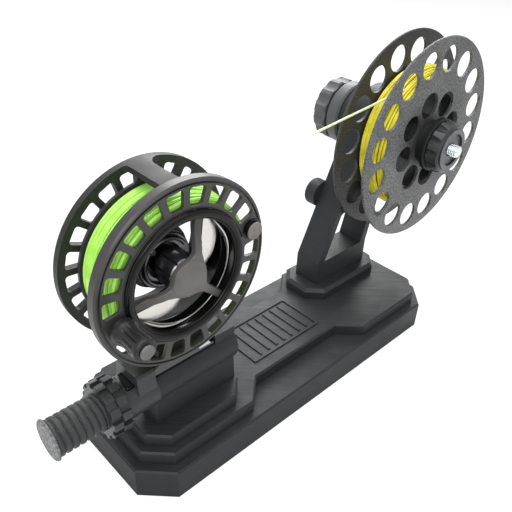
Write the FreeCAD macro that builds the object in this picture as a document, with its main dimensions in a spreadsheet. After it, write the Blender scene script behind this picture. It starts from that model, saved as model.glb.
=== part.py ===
import FreeCAD, Part
import math
import os
import Sketcher

# Fishing line winder: a stepped base with a reel seat and fly reel at -X, and a
# leaning post with a line spool at +X. Millimetres, +Z up, -Y is the front.
# The origin is the centre of the base's underside.

SIZES = {
    # stepped base
    "base_length": 250.0,
    "base_width": 89.0,
    "base_cut": 15.9,
    "tier_one": 19.3,
    "tier_two": 8.1,
    "step_in": 5.4,
    "head_cut": 13.0,
    "waist_half": 36.0,
    "waist_depth": 25.5,
    "head_run": 15.0,
    "edge_bevel": 1.0,
    # plinth under the reel seat
    "plinth_in": 5.1,
    "plinth_cut": 10.0,
    "seat_plinth_length": 64.5,
    "seat_plinth_height": 7.3,
    # plinth under the post
    "post_plinth_length": 73.0,
    "post_plinth_width": 37.6,
    "post_plinth_height": 7.8,
    "post_plinth_bevel": 2.2,
    # plain ribbed panel on the waist
    "panel_length": 58.0,
    "panel_width": 34.0,
    "panel_line": 1.6,
    "relief": 0.8,
    "rib_count": 7.0,
    # ballast bays, bars and bottom cover
    "cover_thick": 3.0,
    "cover_in": 5.0,
    "cover_gap": 0.25,
    "bay_inner": 48.0,
    "bay_outer": 112.0,
    "bay_half_width": 32.0,
    "bay_height": 14.0,
    "bar_gap": 1.0,
    "bar_height": 9.0,
    "screw_radius": 1.5,
    "screw_head_radius": 2.9,
    "screw_head_height": 1.6,
    "screw_length": 11.0,
    "cover_screw_in": 7.0,
    "cover_screw_out": 4.0,
    "cover_screw_y": 17.0,
    # bolts up through the base
    "bolt_radius": 2.5,
    "bolt_head_radius": 4.3,
    "bolt_head_height": 4.0,
    "bolt_grip": 11.0,
    # reel seat pedestal
    "seat_y": -16.0,
    "seat_left": -104.5,
    "seat_right": -52.4,
    "seat_thick": 13.2,
    "seat_splay": 1.0,
    "barrel_z": 60.0,
    "saddle_rise": 8.0,
    "column_length": 13.6,
    "column_rise": 13.5,
    "seat_tube_radius": 10.3,
    "spigot_radius": 6.5,
    "spigot_length": 24.0,
    "seat_screw_radius": 2.5,
    "seat_screw_head_radius": 4.5,
    "seat_screw_head_height": 4.0,
    # threaded barrel, end cap, nuts and hood
    "barrel_reach": 54.8,
    "thread_crest": 9.6,
    "thread_core": 8.7,
    "thread_pitch": 3.6,
    "thread_count": 10.0,
    "thread_start": 1.6,
    "barrel_bore": 6.0,
    "barrel_bore_depth": 42.0,
    "cap_radius": 10.7,
    "cap_thick": 1.1,
    "cap_plug": 6.0,
    "slide_gap": 0.08,
    "nut_width": 5.2,
    "nut_gap": 0.1,
    "nut_body_radius": 13.0,
    "nut_lug_radius": 15.0,
    "nut_notch": 3.6,
    "nut_lugs": 12.0,
    "hood_ring": 6.7,
    "hood_block": 10.4,
    "hood_reach": 18.3,
    "hood_end_gap": 0.5,
    "hood_radius": 11.4,
    "hood_root_half": 10.6,
    "hood_top_half": 8.9,
    "hood_top_rise": 16.8,
    # reel foot
    "foot_half_length": 29.5,
    "foot_half_width": 5.9,
    "foot_tip_length": 14.5,
    "foot_tip_thick": 2.2,
    "foot_mid_thick": 4.2,
    "foot_neck_half": 8.0,
    "foot_root_half": 9.8,
    "foot_gap": 0.4,
    "foot_lift": 0.05,
    # reel
    "reel_x": -91.0,
    "reel_z": 129.4,
    "reel_front": -32.8,
    "reel_flange": 2.0,
    "rim_overhang": 0.45,
    "rim_lip": 1.8,
    "rim_groove": 1.0,
    "rim_groove_in": 1.6,
    "rim_groove_depth": 1.0,
    "rim_depth": 5.0,
    "arbor_radius": 30.5,
    "arbor_wall": 2.0,
    "line_gap": 25.5,
    "back_flange_rise": 1.0,
    "back_flange": 1.5,
    "ring_outer": 33.0,
    "ring_rise": 1.0,
    "window_inner": 34.6,
    "window_margin": 3.4,
    "window_bar": 3.2,
    "window_corner": 1.6,
    "window_count": 22.0,
    "window_phase": -165.0,
    "handle_orbit": 37.3,
    "handle_boss": 6.8,
    "weight_orbit": 39.5,
    "weight_radius": 4.6,
    "weight_length": 5.2,
    "spider_phase": 71.0,
    "spider_arm_half": 4.2,
    "spider_thick": 3.5,
    "spider_boss": 10.5,
    "spider_rise": 3.6,
    "spider_recess": 0.8,
    "hub_tube_radius": 9.3,
    "hub_tube_length": 14.5,
    "clutch_radius": 14.5,
    "clutch_width": 5.0,
    "hub_cap_radius": 8.5,
    "hub_cap_thick": 1.2,
    "spindle_radius": 3.0,
    "run_gap": 0.03,
    "reel_bearing_radius": 5.0,
    "reel_bearing_width": 3.0,
    # reel frame and drag
    "frame_gap": 1.0,
    "frame_plate": 3.6,
    "frame_radius": 46.35,
    "frame_window_inner": 33.6,
    "frame_rim": 3.45,
    "frame_window_count": 22.0,
    "frame_window_phase": -161.4,
    "frame_ring_inner": 28.5,
    "frame_spoke_half": 4.5,
    "frame_hub": 17.5,
    "bridge_wall": 2.9,
    "bridge_gap": 0.7,
    "top_bridge_start": 88.5,
    "top_bridge_end": 100.1,
    "low_bridge_half": 18.0,
    "left_flare": 2.0,
    "right_flare": 8.5,
    "drag_radius": 16.5,
    "drag_length": 8.2,
    "drag_knob_radius": 19.0,
    "drag_knob_length": 8.0,
    "drag_knob_gap": 0.5,
    "drag_knob_flutes": 14.0,
    # handle
    "pin_radius": 2.0,
    "knob_base_radius": 6.3,
    "knob_waist_radius": 5.0,
    "knob_tip_radius": 5.6,
    "knob_length": 18.0,
    "knob_lift": 0.4,
    "pin_head_radius": 3.2,
    "pin_head_height": 1.2,
    # windings and line tail
    "reel_line_room": 5.15,
    "reel_line_crown": 1.8,
    "spool_line_depth": 7.5,
    "spool_line_crown": 4.0,
    "tail_radius": 0.7,
    # post
    "post_y": 16.3,
    "post_thick": 19.6,
    "post_left": 51.6,
    "post_right": 103.4,
    "post_foot": 17.2,
    "post_head_radius": 26.4,
    "leg_bend_x": 103.6,
    "leg_bend_z": 52.8,
    "leg_top_in": 0.6,
    "window_left": 58.3,
    "window_right": 97.6,
    "window_top_wide": 45.8,
    "window_top_near": 11.1,
    "window_top_drop": 23.3,
    "window_round": 3.5,
    "boss_radius": 19.8,
    "boss_length": 13.4,
    "peg_in": 2.6,
    "peg_screw_in": 4.6,
    "peg_z": 92.5,
    "peg_radius": 9.3,
    "peg_length": 9.0,
    "peg_round": 1.8,
    # axle stack
    "axle_x": 117.0,
    "axle_z": 135.2,
    "rod_radius": 4.0,
    "rod_rear": 60.0,
    "rod_reach": 4.6,
    "rod_end_radius": 3.95,
    "bearing_radius": 11.0,
    "bearing_width": 7.0,
    "bearing_inset": 1.0,
    "sleeve_radius": 6.2,
    "flange_gap": 0.5,
    "flange_radius": 21.7,
    "flange_length": 9.5,
    "flange_round": 1.2,
    "rear_neck_radius": 8.5,
    "rear_neck_length": 2.0,
    "rear_knob_radius": 21.6,
    "rear_knob_length": 10.1,
    "rear_knob_flutes": 12.0,
    "flute_radius": 8.0,
    "flute_depth": 1.6,
    # line spool
    "disc_radius": 66.2,
    "disc_thick": 1.8,
    "disc_gap": 2.3,
    "core_length": 20.7,
    "core_radius": 35.0,
    "core_wall": 3.0,
    "core_hub_radius": 16.0,
    "core_web": 3.0,
    "rim_hole_radius": 8.25,
    "rim_hole_orbit": 52.6,
    "rim_hole_count": 16.0,
    "rim_hole_phase": 104.85,
    "rear_disc_turn": 1.3,
    "hub_hole_radius": 8.5,
    "hub_hole_orbit": 25.5,
    "hub_hole_count": 8.0,
    "hub_hole_phase": 13.7,
    "flange_screw_orbit": 11.0,
    "flange_screw_radius": 1.5,
    "flange_screw_head": 2.75,
    "flange_screw_head_height": 1.5,
    # front collar and knob
    "cone_radius": 13.0,
    "cone_length": 4.9,
    "collar_radius": 17.3,
    "collar_thick": 3.6,
    "knob_gap": 0.3,
    "front_knob_radius": 17.1,
    "front_knob_tip_radius": 15.6,
    "front_knob_length": 8.4,
    "front_knob_flutes": 12.0,
    "front_flute_radius": 3.4,
    "front_flute_depth": 1.9,
    "lip_radius": 14.6,
    "lip_height": 1.3,
    "recess_radius": 10.4,
    "recess_depth": 1.6,
    "insert_radius": 7.4,
    "insert_width": 2.5,
}


class Size:
    """A length with its value and the spreadsheet expression that gives it."""

    def __init__(self, value, text):
        self.value = value
        self.text = text

    def __add__(self, other):
        return join(self, "+", other, self.value + number(other))

    def __radd__(self, other):
        return join(other, "+", self, number(other) + self.value)

    def __sub__(self, other):
        return join(self, "-", other, self.value - number(other))

    def __rsub__(self, other):
        return join(other, "-", self, number(other) - self.value)

    def __mul__(self, other):
        return join(self, "*", other, self.value * number(other))

    def __rmul__(self, other):
        return join(other, "*", self, number(other) * self.value)

    def __truediv__(self, other):
        return join(self, "/", other, self.value / number(other))

    def __rtruediv__(self, other):
        return join(other, "/", self, number(other) / self.value)

    def __neg__(self):
        return Size(-self.value, f"(0 - {self.text})")


def number(size):
    return size.value if isinstance(size, Size) else float(size)


def text(size):
    return size.text if isinstance(size, Size) else repr(float(size))


def join(left, sign, right, value):
    return Size(value, f"({text(left)} {sign} {text(right)})")


def root(size):
    return Size(math.sqrt(size.value), f"sqrt({size.text})")


def cosine(angle):
    return Size(math.cos(math.radians(number(angle))), f"cos({text(angle)} * 1 deg)")


def sine(angle):
    return Size(math.sin(math.radians(number(angle))), f"sin({text(angle)} * 1 deg)")


doc = FreeCAD.newDocument("line_winder")
sheet = doc.addObject("Spreadsheet::Sheet", "Sizes")


class Sizes:
    """Every driving dimension, as an attribute."""


s = Sizes()
for row, (alias, value) in enumerate(SIZES.items(), start=1):
    sheet.set(f"A{row}", alias)
    sheet.set(f"B{row}", str(value))
    sheet.setAlias(f"B{row}", alias)
    setattr(s, alias, Size(value, f"Sizes.{alias}"))
doc.recompute()

# ---------------------------------------------------------------- shared helpers

UNIT = {
    "X": FreeCAD.Vector(1, 0, 0),
    "Y": FreeCAD.Vector(0, 1, 0),
    "Z": FreeCAD.Vector(0, 0, 1),
}
PLANE = {"X": "YZ_Plane", "Y": "XZ_Plane", "Z": "XY_Plane"}
NEAR = 1e-4
pieces = []


def bind(thing, path, size):
    thing.setExpression(path, text(size))


def put(thing, x=0, y=0, z=0):
    """Place an object from the sheet."""
    for letter, size in zip("xyz", (x, y, z)):
        bind(thing, f"Placement.Base.{letter}", size)
    return thing


def piece(label, thing):
    """Name an object as one exported sub-part."""
    thing.Label = label
    pieces.append(thing)
    return thing


def new_body(label, x=0, y=0, z=0):
    body = doc.addObject("PartDesign::Body", label)
    put(body, x, y, z)
    return piece(label, body)


def origin_item(body, role):
    return next(item for item in body.Origin.OriginFeatures if item.Role == role)


def sketch_on(body, axis, offset=0):
    """A sketch square to an axis, moved along it. Its plane holds the other two axes."""
    sketch = body.newObject("Sketcher::SketchObject", body.Name + "_sketch")
    sketch.AttachmentSupport = (origin_item(body, PLANE[axis]), [""])
    sketch.MapMode = "FlatFace"
    bind(sketch, "AttachmentOffset.Base.z", -offset if axis == "Y" else offset)
    return sketch


def lock(sketch, curve, point, x, y):
    """Hold a sketch point at x, y from the origin, driven by the sheet."""
    for kind, size in (("DistanceX", x), ("DistanceY", y)):
        rule = Sketcher.Constraint(kind, -1, 1, curve, point, number(size))
        index = sketch.addConstraint(rule)
        bind(sketch, f"Constraints[{index}]", size)


def polygon(sketch, points):
    """A closed outline through points, each one held by the sheet."""
    first = sketch.GeometryCount
    count = len(points)
    corners = [FreeCAD.Vector(number(x), number(y), 0) for x, y in points]
    for i in range(count):
        sketch.addGeometry(Part.LineSegment(corners[i], corners[(i + 1) % count]), False)
    for i in range(count):
        following = first + (i + 1) % count
        sketch.addConstraint(Sketcher.Constraint("Coincident", first + i, 2, following, 1))
    for i, (x, y) in enumerate(points):
        lock(sketch, first + i, 1, x, y)
    return sketch


def circle(sketch, x, y, radius):
    centre = FreeCAD.Vector(number(x), number(y), 0)
    curve = sketch.addGeometry(Part.Circle(centre, UNIT["Z"], number(radius)), False)
    lock(sketch, curve, 3, x, y)
    index = sketch.addConstraint(Sketcher.Constraint("Radius", curve, number(radius)))
    bind(sketch, f"Constraints[{index}]", radius)
    return sketch


def runs_back(sketch, toward):
    """Whether a feature that runs toward +1 or -1 on its axis opposes the sketch."""
    normal = sketch.AttachmentSupport[0][0].Role == "XZ_Plane"
    return (toward < 0) != normal


def pad(body, sketch, length, toward=1):
    feature = body.newObject("PartDesign::Pad", body.Name + "_pad")
    feature.Profile = sketch
    feature.Reversed = runs_back(sketch, toward)
    bind(feature, "Length", length)
    doc.recompute()
    return feature


def pocket(body, sketch, length, toward=1):
    before = body.Shape.Volume
    feature = body.newObject("PartDesign::Pocket", body.Name + "_pocket")
    feature.Profile = sketch
    feature.Reversed = not runs_back(sketch, toward)
    bind(feature, "Length", length)
    doc.recompute()
    if body.Shape.Volume > before - NEAR:
        raise RuntimeError(f"{feature.Label} cuts nothing")
    return feature


def turn(body, points, axis="Y", kind="PartDesign::Revolution"):
    """Turn an outline about Y (points are radius, y) or X (points are x, radius)."""
    sketch = polygon(sketch_on(body, "Z"), points)
    feature = body.newObject(kind, body.Name + "_turn")
    feature.Profile = sketch
    feature.ReferenceAxis = (sketch, ["V_Axis" if axis == "Y" else "H_Axis"])
    feature.Angle = 360
    doc.recompute()
    return feature


def around(body, feature, count, axis="Y"):
    """Repeat a feature evenly about one of the body's axes."""
    pattern = body.newObject("PartDesign::PolarPattern", body.Name + "_around")
    pattern.Originals = [feature]
    pattern.Axis = (origin_item(body, axis + "_Axis"), [""])
    pattern.Angle = 360
    bind(pattern, "Occurrences", count)
    body.Tip = pattern
    doc.recompute()
    return pattern


def along(body, feature, count, length, axis="X"):
    """Repeat a feature evenly along one of the body's axes."""
    pattern = body.newObject("PartDesign::LinearPattern", body.Name + "_along")
    pattern.Originals = [feature]
    pattern.Direction = (origin_item(body, axis + "_Axis"), [""])
    bind(pattern, "Length", length)
    bind(pattern, "Occurrences", count)
    body.Tip = pattern
    doc.recompute()
    return pattern


def ease(body, kind, size, wanted):
    """Chamfer or fillet those edges of the body's last feature that pass a test."""
    base = body.Tip
    names = [f"Edge{i}" for i, edge in enumerate(base.Shape.Edges, start=1) if wanted(edge)]
    feature = body.newObject("PartDesign::" + kind, f"{body.Name}_{kind.lower()}")
    feature.Base = (base, names)
    bind(feature, "Size" if kind == "Chamfer" else "Radius", size)
    doc.recompute()
    return feature


def edge_at(axis, place):
    """A test for edges that lie wholly at one place on an axis."""

    def wanted(edge):
        box = edge.BoundBox
        low = getattr(box, axis + "Min")
        high = getattr(box, axis + "Max")
        return abs(low - number(place)) < NEAR and abs(high - number(place)) < NEAR

    return wanted


def cylinder(name, radius, length, axis, x, y, z):
    """A round bar that starts at x, y, z and runs along +axis."""
    bar = doc.addObject("Part::Cylinder", name)
    bar.Placement.Rotation = FreeCAD.Rotation(UNIT["Z"], UNIT[axis])
    bind(bar, "Radius", radius)
    bind(bar, "Height", length)
    return put(bar, x, y, z)


def box(name, length, width, height, x, y, z):
    """A block from its lowest corner."""
    block = doc.addObject("Part::Box", name)
    bind(block, "Length", length)
    bind(block, "Width", width)
    bind(block, "Height", height)
    return put(block, x, y, z)


def fuse(name, shapes):
    joined = doc.addObject("Part::MultiFuse", name)
    joined.Shapes = shapes
    return joined


def cut(name, base, tool):
    result = doc.addObject("Part::Cut", name)
    result.Base = base
    result.Tool = tool
    return result


def group(label, shapes):
    """Several separate solids in one node."""
    holder = doc.addObject("Part::Compound", label)
    holder.Links = shapes
    return piece(label, holder)


def headed(name, axis, x, y, z, head, shank):
    """A screw along an axis. head and shank are (radius, start, length) from x, y, z."""
    bars = []
    for part_name, (radius, start, length) in (("head", head), ("shank", shank)):
        spot = {"X": x, "Y": y, "Z": z}
        spot[axis] = spot[axis] + start
        bar = cylinder(f"{name}_{part_name}", radius, length, axis, *spot.values())
        bars.append(bar)
    return fuse(name, bars)


# ---------------------------------------------------------------- shared places

half_length = s.base_length / 2
half_width = s.base_width / 2
tier_two_top = s.tier_one + s.tier_two
seat_plinth_top = tier_two_top + s.seat_plinth_height
post_plinth_top = tier_two_top + s.post_plinth_height
head_x = half_length - s.step_in
head_y = half_width - s.step_in
plinth_x = head_x - s.plinth_in
plinth_y = head_y - s.plinth_in
bay_top = s.cover_thick + s.bay_height

saddle_z = s.barrel_z + s.saddle_rise
nut_bore = s.thread_crest + s.slide_gap
barrel_left = s.seat_left - s.barrel_reach
hood_left = s.seat_left - s.hood_end_gap - s.hood_reach
foot_left = s.reel_x - s.foot_half_length
foot_right = s.reel_x + s.foot_half_length
foot_screw_grip = 2 * s.foot_tip_thick

bridge_inner = s.frame_radius - s.bridge_wall
rim_radius = s.frame_radius + s.rim_overhang
window_outer = rim_radius - s.window_margin
frame_window_outer = s.frame_radius - s.frame_rim
reel_line_depth = bridge_inner - s.reel_line_room - s.reel_line_crown - s.arbor_radius
back_flange_radius = s.arbor_radius + reel_line_depth + s.back_flange_rise
flange_back = s.reel_front + s.reel_flange
line_back = flange_back + s.line_gap
spool_back = line_back + s.back_flange
frame_front = spool_back + s.frame_gap
frame_back = frame_front + s.frame_plate
arbor_bore = s.arbor_radius - s.arbor_wall
spider_front = s.reel_front + s.spider_recess
spider_back = spider_front + s.spider_thick
spider_nose = spider_front - s.spider_rise
hub_back = spider_back + s.hub_tube_length
bridge_front = s.reel_front + s.rim_depth + s.bridge_gap
bore_radius = s.spindle_radius + s.run_gap

post_front = s.post_y - s.post_thick / 2
post_back = s.post_y + s.post_thick / 2
boss_back = post_back + s.boss_length
foot_top = post_plinth_top + s.post_foot
front_bearing = post_front + s.bearing_inset
rear_bearing = boss_back - s.bearing_inset - s.bearing_width
rod_bore = s.rod_radius + s.run_gap

rear_disc_back = post_front - s.disc_gap
core_back = rear_disc_back - s.disc_thick
core_front = core_back - s.core_length
front_disc_front = core_front - s.disc_thick
collar_front = front_disc_front - s.cone_length - s.collar_thick
knob_back = collar_front - s.knob_gap
knob_front = knob_back - s.front_knob_length - s.lip_height
rod_front = knob_front - s.rod_reach
flange_start = boss_back + s.flange_gap
neck_start = flange_start + s.flange_length
rear_knob_start = neck_start + s.rear_neck_length


def octagon(left, right, front, back, corner):
    """A rectangle with its four corners cut off."""
    return [
        (left + corner, front),
        (right - corner, front),
        (right, front + corner),
        (right, back - corner),
        (right - corner, back),
        (left + corner, back),
        (left, back - corner),
        (left, front + corner),
    ]


def polar(orbit, angle):
    return orbit * cosine(angle), orbit * sine(angle)


# ---------------------------------------------------------------- base


def waisted_outline():
    """The second tier: two cut-corner heads joined by a narrower waist."""
    shoulder = s.waist_half + s.head_run
    quarter = [
        (s.waist_half, s.waist_depth),
        (shoulder, head_y),
        (head_x - s.head_cut, head_y),
        (head_x, head_y - s.head_cut),
    ]
    right_front = [(x, -y) for x, y in quarter]
    right_back = quarter[::-1]
    left_back = [(-x, y) for x, y in quarter]
    left_front = [(-x, -y) for x, y in quarter[::-1]]
    return right_front + right_back + left_back + left_front


def tier(body, outline, bottom, height, bevel):
    """One step of the base, with its upper edge bevelled."""
    pad(body, polygon(sketch_on(body, "Z", bottom), outline), height)
    ease(body, "Chamfer", bevel, edge_at("Z", bottom + height))


def cover_screw_places():
    """Beside each bay, at its inner and its outer end."""
    return [
        (side_x * x, side_y * s.cover_screw_y)
        for x in (s.bay_inner - s.cover_screw_in, s.bay_outer + s.cover_screw_out)
        for side_x in (-1, 1)
        for side_y in (-1, 1)
    ]


def pedestal_bolt_places():
    quarter = (s.seat_right - s.seat_left) / 4
    return [(s.seat_left + quarter, s.seat_y), (s.seat_right - quarter, s.seat_y)]


def post_bolt_places():
    third = (s.post_right - s.post_left) / 6
    return [(s.post_left + third, s.post_y), (s.post_right - third, s.post_y)]


def base_body():
    body = new_body("base_body")
    first = octagon(-half_length, half_length, -half_width, half_width, s.base_cut)
    seat_plinth = octagon(
        -plinth_x, s.seat_plinth_length - plinth_x, -plinth_y, plinth_y, s.plinth_cut
    )
    post_plinth = octagon(
        plinth_x - s.post_plinth_length,
        plinth_x,
        s.post_y - s.post_plinth_width / 2,
        s.post_y + s.post_plinth_width / 2,
        s.plinth_cut,
    )
    tier(body, first, 0, s.tier_one, s.edge_bevel)
    tier(body, waisted_outline(), s.tier_one, s.tier_two, s.edge_bevel)
    tier(body, seat_plinth, tier_two_top, s.seat_plinth_height, s.edge_bevel)
    pad(body, polygon(sketch_on(body, "Z", tier_two_top), post_plinth), s.post_plinth_height)
    at_top = edge_at("Z", post_plinth_top)
    ease(body, "Chamfer", s.post_plinth_bevel, at_top)
    waist_panel(body)
    cover_rebate(body)
    ballast_bays(body)
    base_holes(body)


def waist_panel(body):
    """A plain raised border with parallel ribs inside it."""
    long_half = s.panel_length / 2
    wide_half = s.panel_width / 2
    frame = sketch_on(body, "Z", tier_two_top)
    for inset in (0, s.panel_line):
        x = long_half - inset
        y = wide_half - inset
        polygon(frame, [(-x, -y), (x, -y), (x, y), (-x, y)])
    pad(body, frame, s.relief)
    inner = long_half - s.panel_line
    pitch = 2 * inner / (s.rib_count + 1)
    reach = wide_half - 2 * s.panel_line
    left = pitch - inner - s.panel_line / 2
    rib = sketch_on(body, "Z", tier_two_top)
    right = left + s.panel_line
    polygon(rib, [(left, -reach), (right, -reach), (right, reach), (left, reach)])
    along(body, pad(body, rib, s.relief), s.rib_count, pitch * (s.rib_count - 1))


def cover_outline(gap):
    x = half_length - s.cover_in - gap
    y = half_width - s.cover_in - gap
    return octagon(-x, x, -y, y, s.base_cut)


def cover_rebate(body):
    pocket(body, polygon(sketch_on(body, "Z"), cover_outline(0)), s.cover_thick)


def ballast_bays(body):
    for side in (-1, 1):
        bay = sketch_on(body, "Z")
        near = side * s.bay_inner
        far = side * s.bay_outer
        y = s.bay_half_width
        polygon(bay, [(near, -y), (far, -y), (far, y), (near, y)])
        pocket(body, bay, bay_top)


def base_holes(body):
    """Clearance for the bolts, and pilots for the cover screws."""
    bolts = sketch_on(body, "Z")
    for x, y in pedestal_bolt_places() + post_bolt_places():
        circle(bolts, x, y, s.bolt_radius)
    pocket(body, bolts, post_plinth_top + seat_plinth_top)
    pilots = sketch_on(body, "Z")
    for x, y in cover_screw_places():
        circle(pilots, x, y, s.screw_radius)
    pocket(body, pilots, s.screw_length)


def bottom_cover():
    body = new_body("bottom_cover")
    pad(body, polygon(sketch_on(body, "Z"), cover_outline(s.cover_gap)), s.cover_thick)
    heads = sketch_on(body, "Z")
    shanks = sketch_on(body, "Z")
    for x, y in cover_screw_places():
        circle(heads, x, y, s.screw_head_radius)
        circle(shanks, x, y, s.screw_radius)
    pocket(body, heads, s.screw_head_height)
    pocket(body, shanks, s.cover_thick)


def cover_screws():
    head = (s.screw_head_radius, 0, s.screw_head_height)
    shank = (s.screw_radius, s.screw_head_height, s.screw_length - s.screw_head_height)
    places = enumerate(cover_screw_places())
    group("cover_screws", [headed(f"cover_screw_{i}", "Z", x, y, 0, head, shank) for i, (x, y) in places])


def ballast_bars():
    length = s.bay_outer - s.bay_inner - 2 * s.bar_gap
    width = 2 * (s.bay_half_width - s.bar_gap)
    y = s.bar_gap - s.bay_half_width
    starts = (s.bay_inner + s.bar_gap, s.bar_gap - s.bay_outer)
    bars = [
        box(f"ballast_bar_{i}", length, width, s.bar_height, x, y, s.cover_thick)
        for i, x in enumerate(starts)
    ]
    group("ballast_bars", bars)


def upright_bolts(label, places, joint_z):
    """Bolts from the bay's ceiling into the piece that stands on the base."""
    head = (s.bolt_head_radius, -s.bolt_head_height, s.bolt_head_height)
    shank = (s.bolt_radius, 0, joint_z + s.bolt_grip - bay_top)
    group(label, [headed(f"{label}_{i}", "Z", x, y, bay_top, head, shank) for i, (x, y) in enumerate(places)])


# ---------------------------------------------------------------- reel seat


def seat_pedestal():
    body = new_body("seat_pedestal", y=s.seat_y)
    column = s.seat_right - s.column_length
    top = s.barrel_z + s.column_rise
    upright = s.barrel_z - s.seat_tube_radius
    profile = [
        (s.seat_left - s.seat_splay, seat_plinth_top),
        (s.seat_right + s.seat_splay, seat_plinth_top),
        (s.seat_right, upright),
        (s.seat_right, top),
        (column, top),
        (column, saddle_z),
        (s.seat_left, saddle_z),
        (s.seat_left, upright),
    ]
    pad(body, polygon(sketch_on(body, "Y", -s.seat_thick / 2), profile), s.seat_thick)
    tube = circle(sketch_on(body, "X", s.seat_left), 0, s.barrel_z, s.seat_tube_radius)
    pad(body, tube, s.seat_right - s.seat_left)
    half = s.seat_thick / 2
    flat = sketch_on(body, "X", s.seat_left)
    over = s.barrel_z + 2 * s.seat_tube_radius
    polygon(flat, [(-half, saddle_z), (half, saddle_z), (half, over), (-half, over)])
    pocket(body, flat, column - s.seat_left)
    tip_half = s.foot_half_width + s.foot_gap
    mouth = sketch_on(body, "X", column)
    roof = saddle_z + s.foot_tip_thick + s.foot_gap * 2
    polygon(mouth, [(-tip_half, saddle_z), (tip_half, saddle_z), (tip_half, roof), (-tip_half, roof)])
    pocket(body, mouth, foot_right + s.foot_gap - column)
    spigot = circle(sketch_on(body, "X", s.seat_left), 0, s.barrel_z, s.spigot_radius)
    pocket(body, spigot, s.spigot_length)
    shank = circle(sketch_on(body, "X", s.seat_left), 0, s.barrel_z, s.seat_screw_radius)
    pocket(body, shank, s.seat_right - s.seat_left)
    sink = circle(sketch_on(body, "X", s.seat_right), 0, s.barrel_z, s.seat_screw_head_radius)
    pocket(body, sink, s.seat_screw_head_height, toward=-1)
    bolts = sketch_on(body, "Z", seat_plinth_top)
    for x, _ in pedestal_bolt_places():
        circle(bolts, x, 0, s.bolt_radius)
    pocket(body, bolts, s.bolt_grip)


def seat_barrel():
    """Threaded tube, its ridges standing for the thread, with a flat for the foot."""
    body = new_body("seat_barrel", x=barrel_left, y=s.seat_y, z=s.barrel_z)
    thread_end = s.thread_start + s.thread_pitch * s.thread_count
    end = s.barrel_reach
    spigot_end = end + s.spigot_length
    bore_end = s.barrel_bore_depth
    turn(body, [
        (0, s.barrel_bore),
        (0, s.thread_core),
        (thread_end, s.thread_core),
        (thread_end, s.thread_crest),
        (end, s.thread_crest),
        (end, s.spigot_radius),
        (spigot_end, s.spigot_radius),
        (spigot_end, s.seat_screw_radius),
        (bore_end, s.seat_screw_radius),
        (bore_end, s.barrel_bore),
    ], axis="X")
    ridge_start = s.thread_start
    ridge = turn(body, [
        (ridge_start, s.thread_core - s.edge_bevel),
        (ridge_start, s.thread_core),
        (ridge_start + s.thread_pitch * 0.2, s.thread_crest),
        (ridge_start + s.thread_pitch * 0.55, s.thread_crest),
        (ridge_start + s.thread_pitch * 0.75, s.thread_core),
        (ridge_start + s.thread_pitch * 0.75, s.thread_core - s.edge_bevel),
    ], axis="X")
    along(body, ridge, s.thread_count, s.thread_pitch * (s.thread_count - 1))
    flat_start = foot_left - s.foot_gap - barrel_left
    flat = sketch_on(body, "X", flat_start)
    side = s.thread_crest
    floor = s.saddle_rise
    polygon(flat, [(-side, floor), (side, floor), (side, 2 * side), (-side, 2 * side)])
    pocket(body, flat, end - flat_start)


def barrel_end_cap():
    body = new_body("barrel_end_cap", x=barrel_left, y=s.seat_y, z=s.barrel_z)
    round_off = s.cap_thick / 2
    turn(body, [
        (-s.cap_thick, 0),
        (-s.cap_thick, s.cap_radius - round_off),
        (-round_off, s.cap_radius),
        (0, s.cap_radius),
        (0, s.barrel_bore),
        (s.cap_plug, s.barrel_bore),
        (s.cap_plug, 0),
    ], axis="X")


def seat_screw():
    head = (s.seat_screw_head_radius, -s.seat_screw_head_height, s.seat_screw_head_height)
    reach = s.seat_right - s.seat_left - s.seat_screw_head_height
    bore_left = s.barrel_reach - s.barrel_bore_depth
    shank = (s.seat_screw_radius, -s.seat_screw_head_height - reach - bore_left, reach + bore_left)
    screw = headed("seat_screw_bars", "X", s.seat_right, s.seat_y, s.barrel_z, head, shank)
    piece("seat_screw", screw)


def lugged_nut(label, left, phase):
    """A ring with lugs cut by straight notches."""
    body = new_body(label, x=left, y=s.seat_y, z=s.barrel_z)
    ring = sketch_on(body, "X")
    circle(ring, 0, 0, s.nut_lug_radius)
    circle(ring, 0, 0, nut_bore)
    pad(body, ring, s.nut_width)
    ease(body, "Chamfer", s.edge_bevel / 2, lambda edge: edge.BoundBox.YLength > 2 * s.nut_body_radius.value)
    notch = sketch_on(body, "X")
    half = s.nut_notch / 2
    low = s.nut_body_radius
    high = s.nut_lug_radius + s.edge_bevel
    corners = [(-half, low), (half, low), (half, high), (-half, high)]
    turned = [
        (x * cosine(phase) - y * sine(phase), x * sine(phase) + y * cosine(phase))
        for x, y in corners
    ]
    polygon(notch, turned)
    around(body, pocket(body, notch, s.nut_width), s.nut_lugs, "X")


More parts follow.
